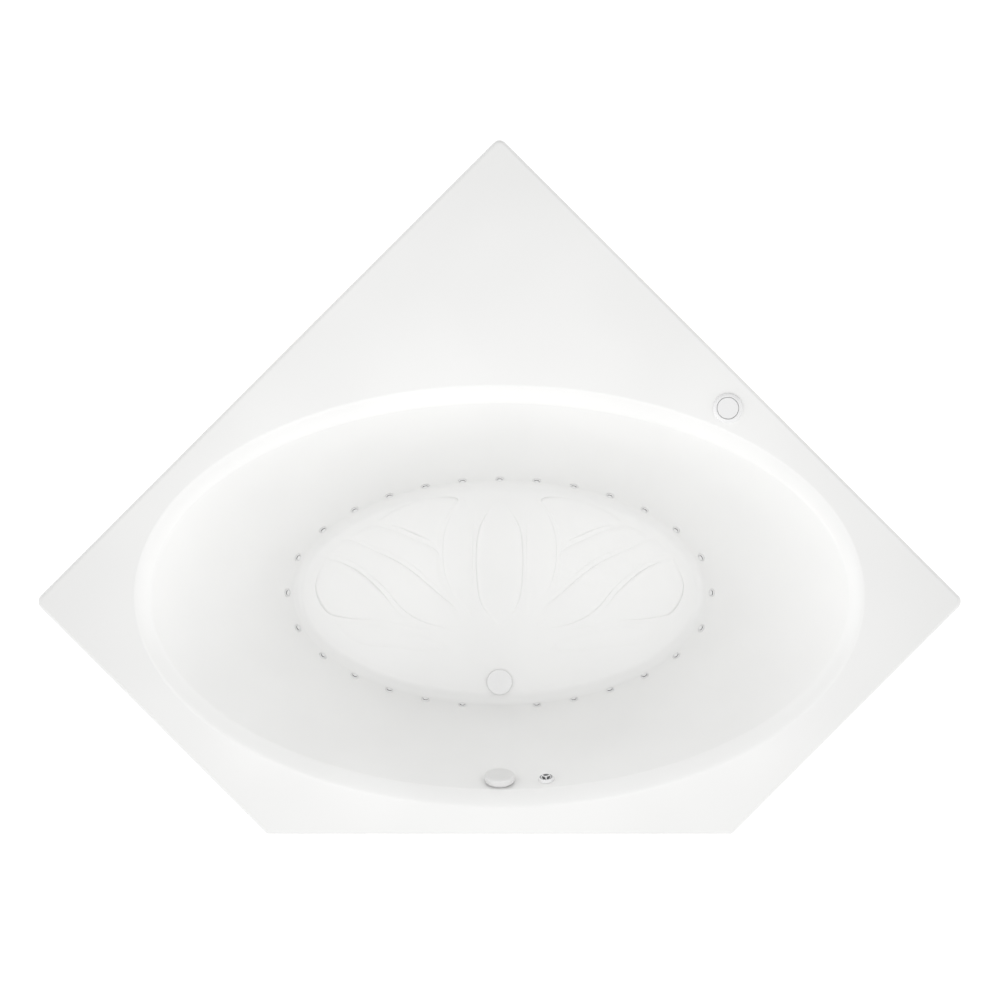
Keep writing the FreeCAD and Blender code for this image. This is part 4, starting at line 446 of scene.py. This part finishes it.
# %% [markdown]
# ### One face of the shell
# `face` stacks the rows of one face of the shell: floor, cove, wall, roll, deck, edge and lip.
# Each row has its points and its normals. The other face of the sheet is the same rows, moved
# back along their normals by the thickness.


# %% Rows of the shell
def face(floor_rows, cove_rows, wall_rows, roll_rows, deck_rows):
    """Rows of points and normals, from the middle of the floor to the bottom of the lip."""
    up = np.broadcast_to(UP, (len(TURNS), 3))
    low, high = touch(TURNS, FLOOR, COVE), touch(TURNS, DECK, -ROLL)
    foot, foot_normal = wall(TURNS, low)
    head, head_normal = wall(TURNS, high)
    cove_centre = foot + COVE * foot_normal
    roll_centre = head - ROLL * head_normal
    cove_way = swing(-up, -foot_normal, np.linspace(0, 1, cove_rows))
    cove = cove_centre + COVE * cove_way
    roll, roll_way = rim_band(head, roll_centre, head_normal, roll_rows)
    middle = np.array([0.0, MIDDLE, FLOOR])
    share = np.linspace(0, 1, floor_rows + 1)[1:-1, None, None] ** 0.75
    floor = middle + share * (cove[0] - middle)
    rise = np.linspace(0, 1, wall_rows)[1:-1, None]
    side, side_normal = wall(TURNS[None, :], low + rise * (high - low))
    inner = EDGE - EDGE_SIZE[:, None] * EDGE_NORMAL
    inner = np.c_[inner, np.full(len(inner), DECK)]
    near = np.r_[0.004, np.linspace(0.03, 0.985, deck_rows), 1.0][:, None, None]
    deck = roll[-1] + near * (inner - roll[-1])
    bend = np.linspace(0, np.pi / 2, 8)[1:, None, None]
    out = np.c_[EDGE_NORMAL, np.zeros(len(EDGE))]
    edge_normal = np.sin(bend) * out + np.cos(bend) * up
    edge = inner + np.sin(bend) * EDGE_SIZE[:, None] * out
    edge[..., 2] = DECK - EDGE_ROUND * (1 - np.cos(bend[..., 0]))
    lip = edge[-1] - np.array([[[0, 0, 2.0]], [[0, 0, LIP_DEPTH - EDGE_ROUND - 1]]])
    flat = lambda rows: np.broadcast_to(up, rows.shape)
    points = np.concatenate([floor, cove, side, roll, deck, edge, lip])
    normals = np.concatenate([flat(floor), -cove_way, side_normal, roll_way, flat(deck),
                              edge_normal, np.broadcast_to(out, lip.shape)])
    return points, normals


# %% [markdown]
# ### From rows to a mesh
# Rows of points become faces by joining each point to its neighbours. The normals worked out
# above go into the mesh too, so the wide flat deck stays flat to the eye right up to its roll.


# %% Mesh builder
def quads(rows, columns, closed=True):
    """Corner numbers of the faces of a grid; the last column joins the first if closed."""
    row = np.arange(rows - 1)[:, None] * columns
    one = np.arange(columns if closed else columns - 1)[None, :]
    two = (one + 1) % columns
    return np.stack([row + one, row + columns + one, row + columns + two, row + two],
                    -1).reshape(-1, 4)


def make_mesh(name, points, faces, material, normals=None, smooth=True):
    """A new object from points in millimetres and faces of any corner count."""
    used, places = np.unique(np.concatenate([np.asarray(f) for f in faces]), return_inverse=True)
    ends = np.cumsum([len(f) for f in faces])
    faces = [part.tolist() for part in np.split(places, ends[:-1])]
    points = np.asarray(points)[used]
    normals = None if normals is None else np.asarray(normals)[used]
    mesh = bpy.data.meshes.new(name)
    mesh.from_pydata((points / 1000).tolist(), [], faces)
    mesh.polygons.foreach_set("use_smooth", [smooth] * len(mesh.polygons))
    if normals is not None:
        mesh.normals_split_custom_set_from_vertices(normals.tolist())
    mesh.materials.append(material)
    thing = bpy.data.objects.new(name, mesh)
    bpy.context.scene.collection.objects.link(thing)
    print(f"{name}: {len(mesh.vertices)} points, {len(mesh.polygons)} faces")
    return thing


# %% [markdown]
# ### Holes for the fittings
# The fitter drills the shell for 27 air injectors, the waste, the overflow, the spout and the
# push control. Here each hole is opened in both faces of the sheet: the faces near it are taken
# out, the gap between their ragged edge and a true circle is filled with triangles, and the two
# circles are joined through the sheet.


# %% Where the holes are
INJECTOR_PLACES, EMPTY_PLACE, INJECTOR_HEIGHT = 28, 14, 29.0
FITTING_DROP, SPOUT_OFFSET, DRAIN_MARGIN = 60.0, 109.0, 46.0
CONTROL_ALONG, CONTROL_INSET = 819.0, 71.0
INJECTOR_HOLE, OVERFLOW_HOLE, SPOUT_HOLE, WASTE_HOLE, CONTROL_HOLE = 7.4, 24.0, 14.9, 23.9, 28.4


def seat(height, turn):
    """Origin, level direction, climb and inward normal of a fitting on the wall."""
    point, normal = wall(np.array(turn), np.array(height))
    level = np.cross((0, 0, 1), normal)
    level /= np.linalg.norm(level)
    return point, level, np.cross(normal, level), normal


def injector_turns():
    """Equal steps of arc round the wall, from the back; the one in front is left out."""
    steps = 2880
    turns = np.pi / 2 - 2 * np.pi * np.arange(steps + 1) / steps
    spots = wall(turns, np.full(turns.shape, FLOOR + INJECTOR_HEIGHT))[0]
    run = np.r_[0, np.cumsum(np.linalg.norm(np.diff(spots, axis=0), axis=1))]
    places = np.delete(np.arange(INJECTOR_PLACES), EMPTY_PLACE)
    wanted = run[-1] * places / INJECTOR_PLACES
    return turns[np.abs(run[:, None] - wanted).argmin(0)]


def flat_seat(x, y, z):
    """Origin and directions of a fitting that looks straight up."""
    return np.array([x, y, z]), np.array([1.0, 0, 0]), np.array([0, 1.0, 0]), UP


FITTING_LEVEL = DECK - FITTING_DROP
long_there = FLOOR_LONG + LONG_SLOPE * (FITTING_LEVEL - FLOOR)
SPOUT_TURN = -math.acos(SPOUT_OFFSET / long_there)
DRAIN_Y = MIDDLE - FLOOR_WIDE + DRAIN_MARGIN
CONTROL_X = (CONTROL_ALONG - CONTROL_INSET) / math.sqrt(2)
CONTROL_Y = BACK - (CONTROL_ALONG + CONTROL_INSET) / math.sqrt(2)
INJECTORS = [seat(FLOOR + INJECTOR_HEIGHT, turn) for turn in injector_turns()]
OVERFLOW = seat(FITTING_LEVEL, -math.pi / 2)
SPOUT = seat(FITTING_LEVEL, SPOUT_TURN)
WASTE = flat_seat(0.0, DRAIN_Y, FLOOR)
CONTROL = flat_seat(CONTROL_X, CONTROL_Y, DECK)
HOLES = [(place, INJECTOR_HOLE) for place in INJECTORS]
HOLES += [(OVERFLOW, OVERFLOW_HOLE), (SPOUT, SPOUT_HOLE), (WASTE, WASTE_HOLE),
          (CONTROL, CONTROL_HOLE)]
print(f"{len(HOLES)} holes; overflow at {OVERFLOW[0].round(1)}, waste at {WASTE[0].round(1)}")


# %% Opening a hole in a sheet
CIRCLE = 32      # points round a hole
NEAR = 30.0      # faces further than this from a seat's plane belong to another wall
FACING = 0.3     # and so do faces whose normal has less than this of the seat's direction
SPARE = 1.0      # room kept between a hole and the faces that stay


def opened(points, normals, faces, place, radius, lift):
    """Faces round a hole give way to triangles up to a circle; returns the circle's numbers."""
    origin, across, along, axis = place
    away = points - origin
    flat = np.stack([away @ across, away @ along], -1)
    one, two = flat[faces], flat[np.roll(faces, -1, 1)]
    step = two - one
    length = np.maximum((step ** 2).sum(-1), 1e-9)
    share = np.clip(-(one * step).sum(-1) / length, 0, 1)
    nearest = np.hypot(*np.moveaxis(one + share[..., None] * step, -1, 0)).min(1)
    around = ((one[..., 0] * two[..., 1] - one[..., 1] * two[..., 0]) > 0).all(1)
    same_wall = ((np.abs(away @ axis)[faces] < NEAR).all(1)
                 & ((normals @ axis)[faces] > FACING).all(1))
    gone = same_wall & ((nearest < radius + SPARE) | around)
    edges = np.concatenate([faces[gone][:, [i, (i + 1) % 4]] for i in range(4)])
    keys = {tuple(edge) for edge in edges.tolist()}
    border = {one: two for one, two in keys if (two, one) not in keys}
    start = next(iter(border))
    ring = [start]
    while border[ring[-1]] != start:
        ring.append(border[ring[-1]])
    turn = np.arange(CIRCLE) * 2 * np.pi / CIRCLE
    circle = radius * np.stack([np.cos(turn), np.sin(turn)], -1)
    spots = origin + circle[:, :1] * across + circle[:, 1:] * along
    if abs(axis[2]) < 0.99:     # a seat on the wall, not on the floor or the deck
        for _ in range(4):      # Newton steps along the axis, onto the ellipse at that height
            long = FLOOR_LONG + LONG_SLOPE * (spots[:, 2] - FLOOR)
            wide = FLOOR_WIDE + WIDE_SLOPE * (spots[:, 2] - FLOOR)
            off = (spots[:, 0] / long) ** 2 + ((spots[:, 1] - MIDDLE) / wide) ** 2 - 1
            slope = 2 * (spots[:, 0] * axis[0] / long ** 2
                         + (spots[:, 1] - MIDDLE) * axis[1] / wide ** 2)
            spots = spots - (off / slope)[:, None] * axis
    spots = spots - lift * axis
    ring_flat = [Vector(flat[i]) for i in ring]
    every = ring_flat + [Vector(spot) for spot in circle]
    count = len(ring)
    loops = [(i, (i + 1) % count) for i in range(count)]
    loops += [(count + i, count + (i + 1) % CIRCLE) for i in range(CIRCLE)]
    corners, _, triangles, source, _, _ = delaunay_2d_cdt(every, loops, [], 0, 1e-7)
    numbers = np.array(ring + list(range(len(points), len(points) + CIRCLE)))
    number = np.array([numbers[inputs[0]] for inputs in source])
    corners = np.array([tuple(corner) for corner in corners])
    fill = []
    outer = np.array([tuple(spot) for spot in ring_flat])
    sides = np.roll(outer, -1, 0)
    for triangle in triangles:  # kept if inside the ragged edge and not inside the circle
        middle = corners[triangle].mean(0)
        cross = ((outer[:, 1] > middle[1]) != (sides[:, 1] > middle[1])) & (
            middle[0] < (sides[:, 0] - outer[:, 0]) * (middle[1] - outer[:, 1])
            / (sides[:, 1] - outer[:, 1] + 1e-12) + outer[:, 0])
        if number[triangle].min() < len(points) and cross.sum() % 2:
            fill.append([int(number[corner]) for corner in triangle])
    points = np.r_[points, spots]
    normals = np.r_[normals, np.broadcast_to(axis, spots.shape)]
    return points, normals, faces[~gone], fill, list(range(len(points) - CIRCLE, len(points)))


def sheet_face(rows, normals, lift):
    """One face of the sheet as a mesh with its pole closed and its holes opened."""
    count = rows.shape[1]
    points = np.r_[rows.reshape(-1, 3), [(0, MIDDLE, FLOOR - lift)]]
    normals = np.r_[normals.reshape(-1, 3), [(0, 0, 1)]]
    faces = quads(len(rows), count)
    pole = len(points) - 1
    fan = [[pole, i, (i + 1) % count] for i in range(count)]
    fills, circles = [], []
    for place, radius in HOLES:
        points, normals, faces, fill, circle = opened(points, normals, faces, place, radius, lift)
        fills += fill
        circles.append(circle)
    return points, normals, faces.tolist() + fills + fan, circles


# %% [markdown]
# ### The finished shell
# The bath face gets close rows where it is rounded. The back face is hidden by the fibreglass,
# so it needs only enough rows to keep the sheet's thickness. A small rounding joins them round
# the bottom of the lip, where the trimmed sheet has been eased.


# %% Acrylic shell
def sheet(name, rows, lift, thickness, material):
    """A sheet with both faces: the given rows moved back by lift, and by lift plus thickness."""
    front_rows, front_normals = face(*rows[0])
    back_rows, back_normals = face(*rows[1])
    front = sheet_face(front_rows - lift * front_normals, front_normals, lift)
    back = sheet_face(back_rows - (lift + thickness) * back_normals, back_normals,
                      lift + thickness)
    shift = len(front[0])
    count = front_rows.shape[1]
    last_front = (len(front_rows) - 1) * count
    last_back = (len(back_rows) - 1) * count
    points = [front[0], back[0]]
    normals = [front[1], -back[1]]
    faces = list(front[2]) + [[corner + shift for corner in reversed(f)] for f in back[2]]
    out = np.c_[EDGE_NORMAL, np.zeros(len(EDGE))]
    share = np.linspace(0, np.pi, 7)[1:-1, None, None]
    centre = (front[0][last_front:last_front + count] + back[0][last_back:last_back + count]) / 2
    ease = np.cos(share) * out - np.sin(share) * np.array([0, 0, 1.0])
    squeeze = np.array([thickness / 2, thickness / 2, 1.0])
    rim_rows = centre + ease * squeeze
    base = shift + len(back[0])
    points.append(rim_rows.reshape(-1, 3))
    normals.append(ease.reshape(-1, 3))
    columns = np.arange(count)
    chain = np.concatenate([[last_front + columns], base + np.arange(5 * count).reshape(5, count),
                            [shift + last_back + columns]])
    following = np.roll(chain, -1, 1)
    faces += np.stack([chain[:-1], chain[1:], following[1:], following[:-1]],
                      -1).reshape(-1, 4).tolist()
    for one, two in zip(front[3], back[3]):
        faces += [[one[i], one[(i + 1) % CIRCLE], two[(i + 1) % CIRCLE] + shift, two[i] + shift]
                  for i in range(CIRCLE)]
    return make_mesh(name, np.concatenate(points), faces, material, np.concatenate(normals))


shell = sheet("bath_shell", ((34, 12, 26, 22, 14), (4, 6, 6, 9, 4)), 0.0, ACRYLIC, acrylic)
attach(shell, "tub")
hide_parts("acrylic_shell")

# %% [markdown]
# ## The leaf pattern underfoot
# The floor is moulded with a fan of broad leaves that keeps feet from slipping. Each leaf is a
# low pad, and its edge eases into the floor over several millimetres, so the pattern shows only
# as faint lines where the light changes. The leaves spring from near the waste and lie side by
# side, a few millimetres apart, and together they nearly fill the floor.


# %% Leaf pads
PAD_SINK, PAD_BASE = 0.05, 1.0      # how far a pad's edge and its underside lie in the floor


def smooth_line(corners, count):
    """Points at even steps along a curve through the corners: each span is a cubic, b + (c-a)/6."""
    a = np.array(corners, float)
    a = np.concatenate([2 * a[:1] - a[1:2], a, 2 * a[-1:] - a[-2:-1]])
    share = np.linspace(0, 1, 12, endpoint=False)[:, None, None]
    before, start, end, after = a[:-3], a[1:-2], a[2:-1], a[3:]
    lead, trail = start + (end - before) / 6, end - (after - start) / 6
    curve = ((1 - share) ** 3 * start + 3 * (1 - share) ** 2 * share * lead
             + 3 * (1 - share) * share ** 2 * trail + share ** 3 * end)
    curve = np.r_[np.moveaxis(curve, 1, 0).reshape(-1, 2), a[-2:-1]]
    run = np.r_[0, np.cumsum(np.linalg.norm(np.diff(curve, axis=0), axis=1))]
    wanted = np.linspace(0, run[-1], count)
    return np.stack([np.interp(wanted, run, curve[:, 0]), np.interp(wanted, run, curve[:, 1])], -1)


def leaf(one_edge, other_edge, height=0.55, ease=12.0):
    """Closed pad between two edges, rising as d^2 (3 - 2d); d is the way in from them / ease."""
    along, across = 56, 19
    one, other = smooth_line(one_edge, along), smooth_line(other_edge, along)
    share = np.linspace(0, 1, across)[None, :, None]
    spots = one[:, None] + share * (other - one)[:, None]
    width = np.linalg.norm(other - one, axis=1)[:, None]
    inside = width * np.minimum(share, 1 - share)[..., 0]
    run = np.linspace(0, 1, along)[:, None]
    ends = np.minimum(run, 1 - run) * np.linalg.norm(np.subtract(one[-1], one[0]))
    depth = np.clip(np.minimum(inside, ends) / ease, 0, 1)
    lift = height * depth ** 2 * (3 - 2 * depth) - PAD_SINK
    top = np.concatenate([spots, FLOOR + lift[..., None]], -1).reshape(-1, 3)
    under = np.c_[top[:, :2], np.full(len(top), FLOOR - PAD_BASE)]
    faces = quads(along, across, closed=False)
    turn_over = np.cross(spots[1, 1] - spots[1, 0], spots[2, 1] - spots[1, 1]) > 0
    count = along * across
    loop = np.r_[np.arange(across), np.arange(1, along) * across + across - 1,
                 count - 2 - np.arange(across - 1), np.arange(along - 2, 0, -1) * across]
    rim = np.stack([loop, np.roll(loop, -1), np.roll(loop, -1) + count, loop + count], -1)
    pad = np.r_[faces, faces[:, ::-1] + count, rim]
    return np.r_[top, under], pad[:, ::-1] if turn_over else pad


# %% The fan of leaves
# Both edges of each leaf from its root to its tip, in millimetres on the floor.
middle_edge = [(0, -338), (46, -280), (58, -200), (54, -110), (28, -55), (0, -25)]
side_leaves = [
    ([(52, -338), (63, -290), (63, -110), (62, -60), (84, -22)],
     [(52, -338), (98, -280), (122, -240), (137, -190), (137, -120), (118, -64), (84, -22)]),
    ([(143, -156), (143, -118), (124, -62), (100, -26), (170, -22), (242, -46), (302, -84)],
     [(143, -156), (165, -132), (200, -116), (249, -96), (302, -84)]),
    ([(106, -272), (132, -232), (144, -192), (150, -152), (205, -124), (254, -103),
      (312, -90), (362, -118)],
     [(106, -272), (134, -254), (194, -202), (240, -170), (298, -144), (362, -118)]),
    ([(80, -338), (112, -284), (138, -262), (198, -210), (244, -178), (302, -151),
      (372, -124), (412, -158)],
     [(80, -338), (130, -340), (194, -322), (240, -290), (282, -240), (340, -190),
      (412, -158)]),
    ([(138, -348), (198, -330), (246, -297), (289, -245), (346, -197), (420, -164)],
     [(138, -348), (210, -340), (300, -322), (370, -316), (420, -300), (446, -240),
      (420, -164)]),
    ([(112, -392), (150, -366), (212, -349), (300, -331), (402, -322)],
     [(112, -392), (180, -398), (254, -388), (330, -380), (372, -358), (402, -322)])]


def mirrored(edge):
    """The same edge on the left half of the floor."""
    return [(-x, y) for x, y in edge]


pads = [leaf(middle_edge, mirrored(middle_edge))]
for one_edge, other_edge in side_leaves:
    pads.append(leaf(one_edge, other_edge))
    pads.append(leaf(mirrored(one_edge), mirrored(other_edge)))
starts = np.cumsum([0] + [len(pad[0]) for pad in pads[:-1]])
leaf_points = np.concatenate([pad[0] for pad in pads])
leaf_faces = np.concatenate([pad[1] + start for pad, start in zip(pads, starts)])
floor_leaves = make_mesh("floor_leaves", leaf_points, leaf_faces.tolist(), acrylic)
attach(floor_leaves, "tub")

# %% [markdown]
# ## Small fittings seen in the bath
# The injector caps, the overflow knob and the spout's ball are turned shapes: a profile of
# radius and height, swept round the fitting's own axis. The corners of each profile are cut to
# small arcs, so every edge catches a line of light. Under each cap sits a dark rubber sleeve
# that the air lifts. Its black is partly painted shade that darkens the slot under the cap, and
# from above it shows as a thin dark arc on the uphill side.


# %% Turned shapes
def rounded(corners, radius):
    """Profile whose corners A B C become arcs: (1 - s)^2 A + 2 s (1 - s) B + s^2 C."""
    corners = np.array(corners, float)
    line = [corners[0]]
    share = np.linspace(0, 1, 5)[:, None]
    for before, corner, after in zip(corners, corners[1:], corners[2:]):
        back, ahead = before - corner, after - corner
        cut = min(radius, 0.45 * np.linalg.norm(back), 0.45 * np.linalg.norm(ahead))
        start = corner + cut * back / np.linalg.norm(back)
        end = corner + cut * ahead / np.linalg.norm(ahead)
        line.extend((1 - share) ** 2 * start + 2 * share * (1 - share) * corner
                    + share ** 2 * end)
    return np.array(line + [corners[-1]])


def turned(place, corners, radius=0.6, steps=64):
    """Points h n + r (cos t u + sin t v) of a profile swept round a seat's axis, and faces."""
    origin, across, along, axis = place
    ringed = corners[0] == corners[-1]
    profile = rounded(corners, radius)
    rows = profile[:-1] if ringed else profile[1:-1]
    turn = np.arange(steps)[:, None] * 2 * np.pi / steps
    spoke = np.cos(turn) * across + np.sin(turn) * along
    swept = origin + rows[:, 1, None, None] * axis + rows[:, 0, None, None] * spoke
    row = np.arange(len(rows) if ringed else len(rows) - 1)[:, None]
    above = (row + 1) % len(rows)
    one = np.arange(steps)[None, :]
    two = (one + 1) % steps
    faces = np.stack([row * steps + one, row * steps + two, above * steps + two,
                      above * steps + one], -1).reshape(-1, 4).tolist()
    points = swept.reshape(-1, 3)
    if not ringed:
        one, two, last = one[0], two[0], (len(rows) - 1) * steps
        low, high = np.full(steps, len(points)), np.full(steps, len(points) + 1)
        faces += np.stack([low, two, one], -1).tolist()
        faces += np.stack([high, last + one, last + two], -1).tolist()
        points = np.r_[points, [origin + profile[0, 1] * axis, origin + profile[-1, 1] * axis]]
    return points, faces


def bar(place, turn, reach, width, low, high):
    """Points and faces of a flat bar from a seat's axis outwards, between two heights."""
    origin, across, along, axis = place
    out = math.cos(turn) * across + math.sin(turn) * along
    side = np.cross(axis, out) * width / 2
    foot = [origin - side, origin + out * reach - side, origin + out * reach + side,
            origin + side]
    points = np.array([spot + level * axis for level in (low, high) for spot in foot])
    faces = [[0, 3, 2, 1], [4, 5, 6, 7], [0, 1, 5, 4], [1, 2, 6, 5], [2, 3, 7, 6], [3, 0, 4, 7]]
    return points, faces


def fitting(name, parts, material, body, node=None):
    """One piece from several closed shapes, riding a body; it may stand for a node."""
    points, faces, count = [], [], 0
    for spots, corners in parts:
        points.append(spots)
        faces += [[number + count for number in face] for face in corners]
        count += len(spots)
    thing = make_mesh(name, np.concatenate(points), faces, material)
    thing.data.set_sharp_from_angle(angle=math.radians(40))
    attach(thing, body)
    if node:
        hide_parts(node)
    return thing


# %% Injector caps, overflow knob and the ball of the spout
# Profiles are (radius, height) in millimetres, with heights counted from the bath's face.
cap = [(0, -4.6), (2, -4.6), (2, 3.2), (6, 3.2), (6, 4.2), (4, 4.9), (0, 5)]
sleeve = [(2.2, 1.45), (5.7, 1.45), (5.4, 3.1), (2.2, 3.1), (2.2, 1.45)]
fitting("injector_cap_domes", [turned(place, cap, 0.9, 40) for place in INJECTORS],
        white_abs, "tub", "injector_caps")
# The sleeves' dark rubber is painted shade: it darkens the slot under each cap.
fitting("injector_sleeves_painted_shade", [turned(place, sleeve, 0.3, 40) for place in INJECTORS],
        rubber, "tub")

knob = [(0, -19.6), (9.6, -19.6), (9.6, -15.6), (4, -15.6), (4, 17), (32, 17), (32, 5), (35, 5),
        (35, 17.3), (32.3, 20), (18, 21.4), (0, 21.6)]
fitting("overflow_knob_dome", [turned(OVERFLOW, knob, 1.6, 96)], knob_abs_painted_shade,
        "knob", "overflow_knob")

# The ball's own profiles are counted from its centre, which lies a little out of the wall.
TILT, BALL_HEIGHT, BALL_RADIUS = math.radians(20), 4, 12.8
origin, level, climb, normal = SPOUT
EYE = (origin + BALL_HEIGHT * normal, level, math.cos(TILT) * climb - math.sin(TILT) * normal,
       math.cos(TILT) * normal + math.sin(TILT) * climb)
arc = [(BALL_RADIUS * math.cos(turn), BALL_RADIUS * math.sin(turn))
       for turn in np.radians(range(-36, 37, 4))]
ball = [(9.9, -7.5)] + arc + [(9.9, 7.5), (9.9, -7.5)]
spokes = [bar(EYE, math.pi / 2 + 2 * math.pi * number / 3, 10.2, 2.2, 4.2, 7.2)
          for number in range(3)]
hub = turned(EYE, [(0, 4), (2.6, 4), (2.6, 8), (0, 8)], 0.7, 32)
fitting("nozzle_eye", [turned(EYE, ball, 0.4, 64), hub] + spokes, white_abs,
        "nozzle", "nozzle_ball")
# The lining inside the ball's port and the wiper round the ball are grey as painted shade, so the
# port and the gap look dark from above.
lining = [(9.1, -7), (9.8, -7), (9.8, 7), (9.1, 7), (9.1, -7)]
fitting("nozzle_lining_painted_shade", [turned(EYE, lining, 0.2, 48)], liner_shade_grey, "nozzle")
wiper = [(12.6, 9.02), (15, 9.02), (14.6, 9.7), (12.9, 9.7), (12.6, 9.02)]
fitting("nozzle_wiper_painted_shade", [turned(SPOUT, wiper, 0.3, 64)], liner_shade_grey, "tub")
print(f"spout looks along {EYE[3].round(3)}")

# %% Bellows of the push control, turned with four folds
LOW_FOLD, HIGH_FOLD, FOLDS, TRAVEL = -41.0, -11.4, 4, 4.0
levels = np.linspace(LOW_FOLD, HIGH_FOLD, 2 * FOLDS + 1)
folds = [(8 if number % 2 == 0 else 12, level) for number, level in enumerate(levels)]
bellows = fitting("control_bellows_folds",
                  [turned(CONTROL, [(2, LOW_FOLD)] + folds + [(2, HIGH_FOLD), (2, LOW_FOLD)],
                          1.0, 48)], rubber, "tub", "control_bellows")
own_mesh(bellows)

# %% [markdown]
# ## Finishes for the carried-over pieces
# Every other piece keeps the engineered shape, and takes the material of its slot in the
# record. The timber pieces take one each, because their grain runs in different directions.

# %% Give each node its material
finishes = {"acrylic": acrylic, "fibreglass": fibreglass, "plywood": plywood,
            "white_fitting": white_abs, "white_pipe": white_pvc, "grey_pipe": grey_pp,
            "black_plastic": black_abs, "rubber": rubber, "clear_tube": clear_pvc,
            "brass": brass, "steel": zinc, "aluminium": cast_aluminium}
for part in frame["record"]["subparts"]:
    thing = frame["nodes"][part["node"]]
    chosen = timber.get(part["node"]) or finishes[part["material_slot"]]
    thing.data.materials.clear()
    thing.data.materials.append(chosen)

# %% [markdown]
# ## Studio
# The bath stands on a white floor in a white room, and the camera sees both as pure white. The
# room is brighter in front than behind, and its side walls are brightest low down, which lifts
# the sloping ends of the well. Two soft lamps hang over the well, each turned to one end.


# %% Floor, world and lamps
FLOOR_GLOW, HALF_FLOOR = 0.62, 20000.0
FRONT_LIGHT, BACK_LIGHT, SIDE_LIGHT, TOP_LIGHT = 0.67, 0.09, 1.6, 0.54


def sees_white(tree):
    """1 for rays straight from the camera, off gloss or through glass, and 0 for the rest."""
    path = add(tree, "LightPath")
    seen = add(tree, "Math", {0: path.outputs["Is Camera Ray"],
                              1: path.outputs["Is Glossy Ray"]}, operation="MAXIMUM")
    return add(tree, "Math", {0: seen.outputs[0], 1: path.outputs["Is Transmission Ray"]},
               operation="MAXIMUM").outputs[0]


ground = bpy.data.materials.new("studio_floor_paint")
ground.use_nodes = True
tree = ground.node_tree
tree.nodes.clear()
paint = add(tree, "BsdfDiffuse", {"Color": linear("#e6e6e6")})
glow = add(tree, "Emission", {"Color": (1, 1, 1, 1), "Strength": FLOOR_GLOW})
lit = add(tree, "AddShader", {0: paint.outputs[0], 1: glow.outputs[0]})
both = add(tree, "MixShader", {0: sees_white(tree), 1: paint.outputs[0], 2: lit.outputs[0]})
add(tree, "OutputMaterial", {"Surface": both.outputs[0]})
corners = [(x * HALF_FLOOR, y * HALF_FLOOR, 0) for x, y in ((-1, -1), (1, -1), (1, 1), (-1, 1))]
floor = make_mesh("studio_floor", corners, [(0, 1, 2, 3)], ground, smooth=False)

world = bpy.data.worlds.new("studio")
bpy.context.scene.world = world
world.use_nodes = True
tree = world.node_tree
tree.nodes.clear()
way = add(tree, "SeparateXYZ", {0: add(tree, "TexCoord").outputs["Generated"]})
front = add(tree, "MapRange", {"Value": way.outputs["Y"], "From Min": -1.0,
                               "To Min": FRONT_LIGHT, "To Max": BACK_LIGHT}).outputs["Result"]
sides = add(tree, "Math", {0: way.outputs["X"]}, operation="ABSOLUTE").outputs[0]
sides = add(tree, "Math", {0: sides, 1: SIDE_LIGHT}, operation="MULTIPLY").outputs[0]
low = add(tree, "Math", {0: 1.0, 1: way.outputs["Z"]}, operation="SUBTRACT").outputs[0]
above = add(tree, "Math", {0: way.outputs["Z"], 1: 0.0}, operation="GREATER_THAN").outputs[0]
low = add(tree, "Math", {0: low, 1: above}, operation="MULTIPLY").outputs[0]
top = add(tree, "Math", {0: way.outputs["Z"], 1: 4.0}, operation="POWER").outputs[0]
level = add(tree, "Math", {0: sides, 1: low, 2: front}, operation="MULTIPLY_ADD").outputs[0]
level = add(tree, "Math", {0: top, 1: TOP_LIGHT, 2: level}, operation="MULTIPLY_ADD").outputs[0]
room = add(tree, "Background", {"Color": (1, 1, 1, 1), "Strength": level})
white = add(tree, "Background", {"Color": (1, 1, 1, 1), "Strength": 1.0})
path = add(tree, "LightPath")
mixed = add(tree, "MixShader", {0: path.outputs["Is Camera Ray"], 1: room.outputs[0],
                                2: white.outputs[0]})
add(tree, "OutputWorld", {"Surface": mixed.outputs[0]})


def lamp(name, place, target, size, power):
    """A square area lamp in metres and watts, facing a target."""
    data = bpy.data.lights.new(name, "AREA")
    data.size = size
    data.energy = power
    thing = bpy.data.objects.new(name, data)
    thing.location = place
    away = Vector(target) - Vector(place)
    thing.rotation_euler = away.to_track_quat("-Z", "Y").to_euler()
    bpy.context.scene.collection.objects.link(thing)
    return thing


lamp("right_end_softbox", (-0.4, -0.3, 1.6), (0.75, -0.25, 0.35), 0.8, 2.4)
lamp("left_end_softbox", (0.4, -0.3, 1.6), (-0.75, -0.25, 0.35), 0.8, 2.0)
bpy.context.scene.view_settings.view_transform = "Standard"
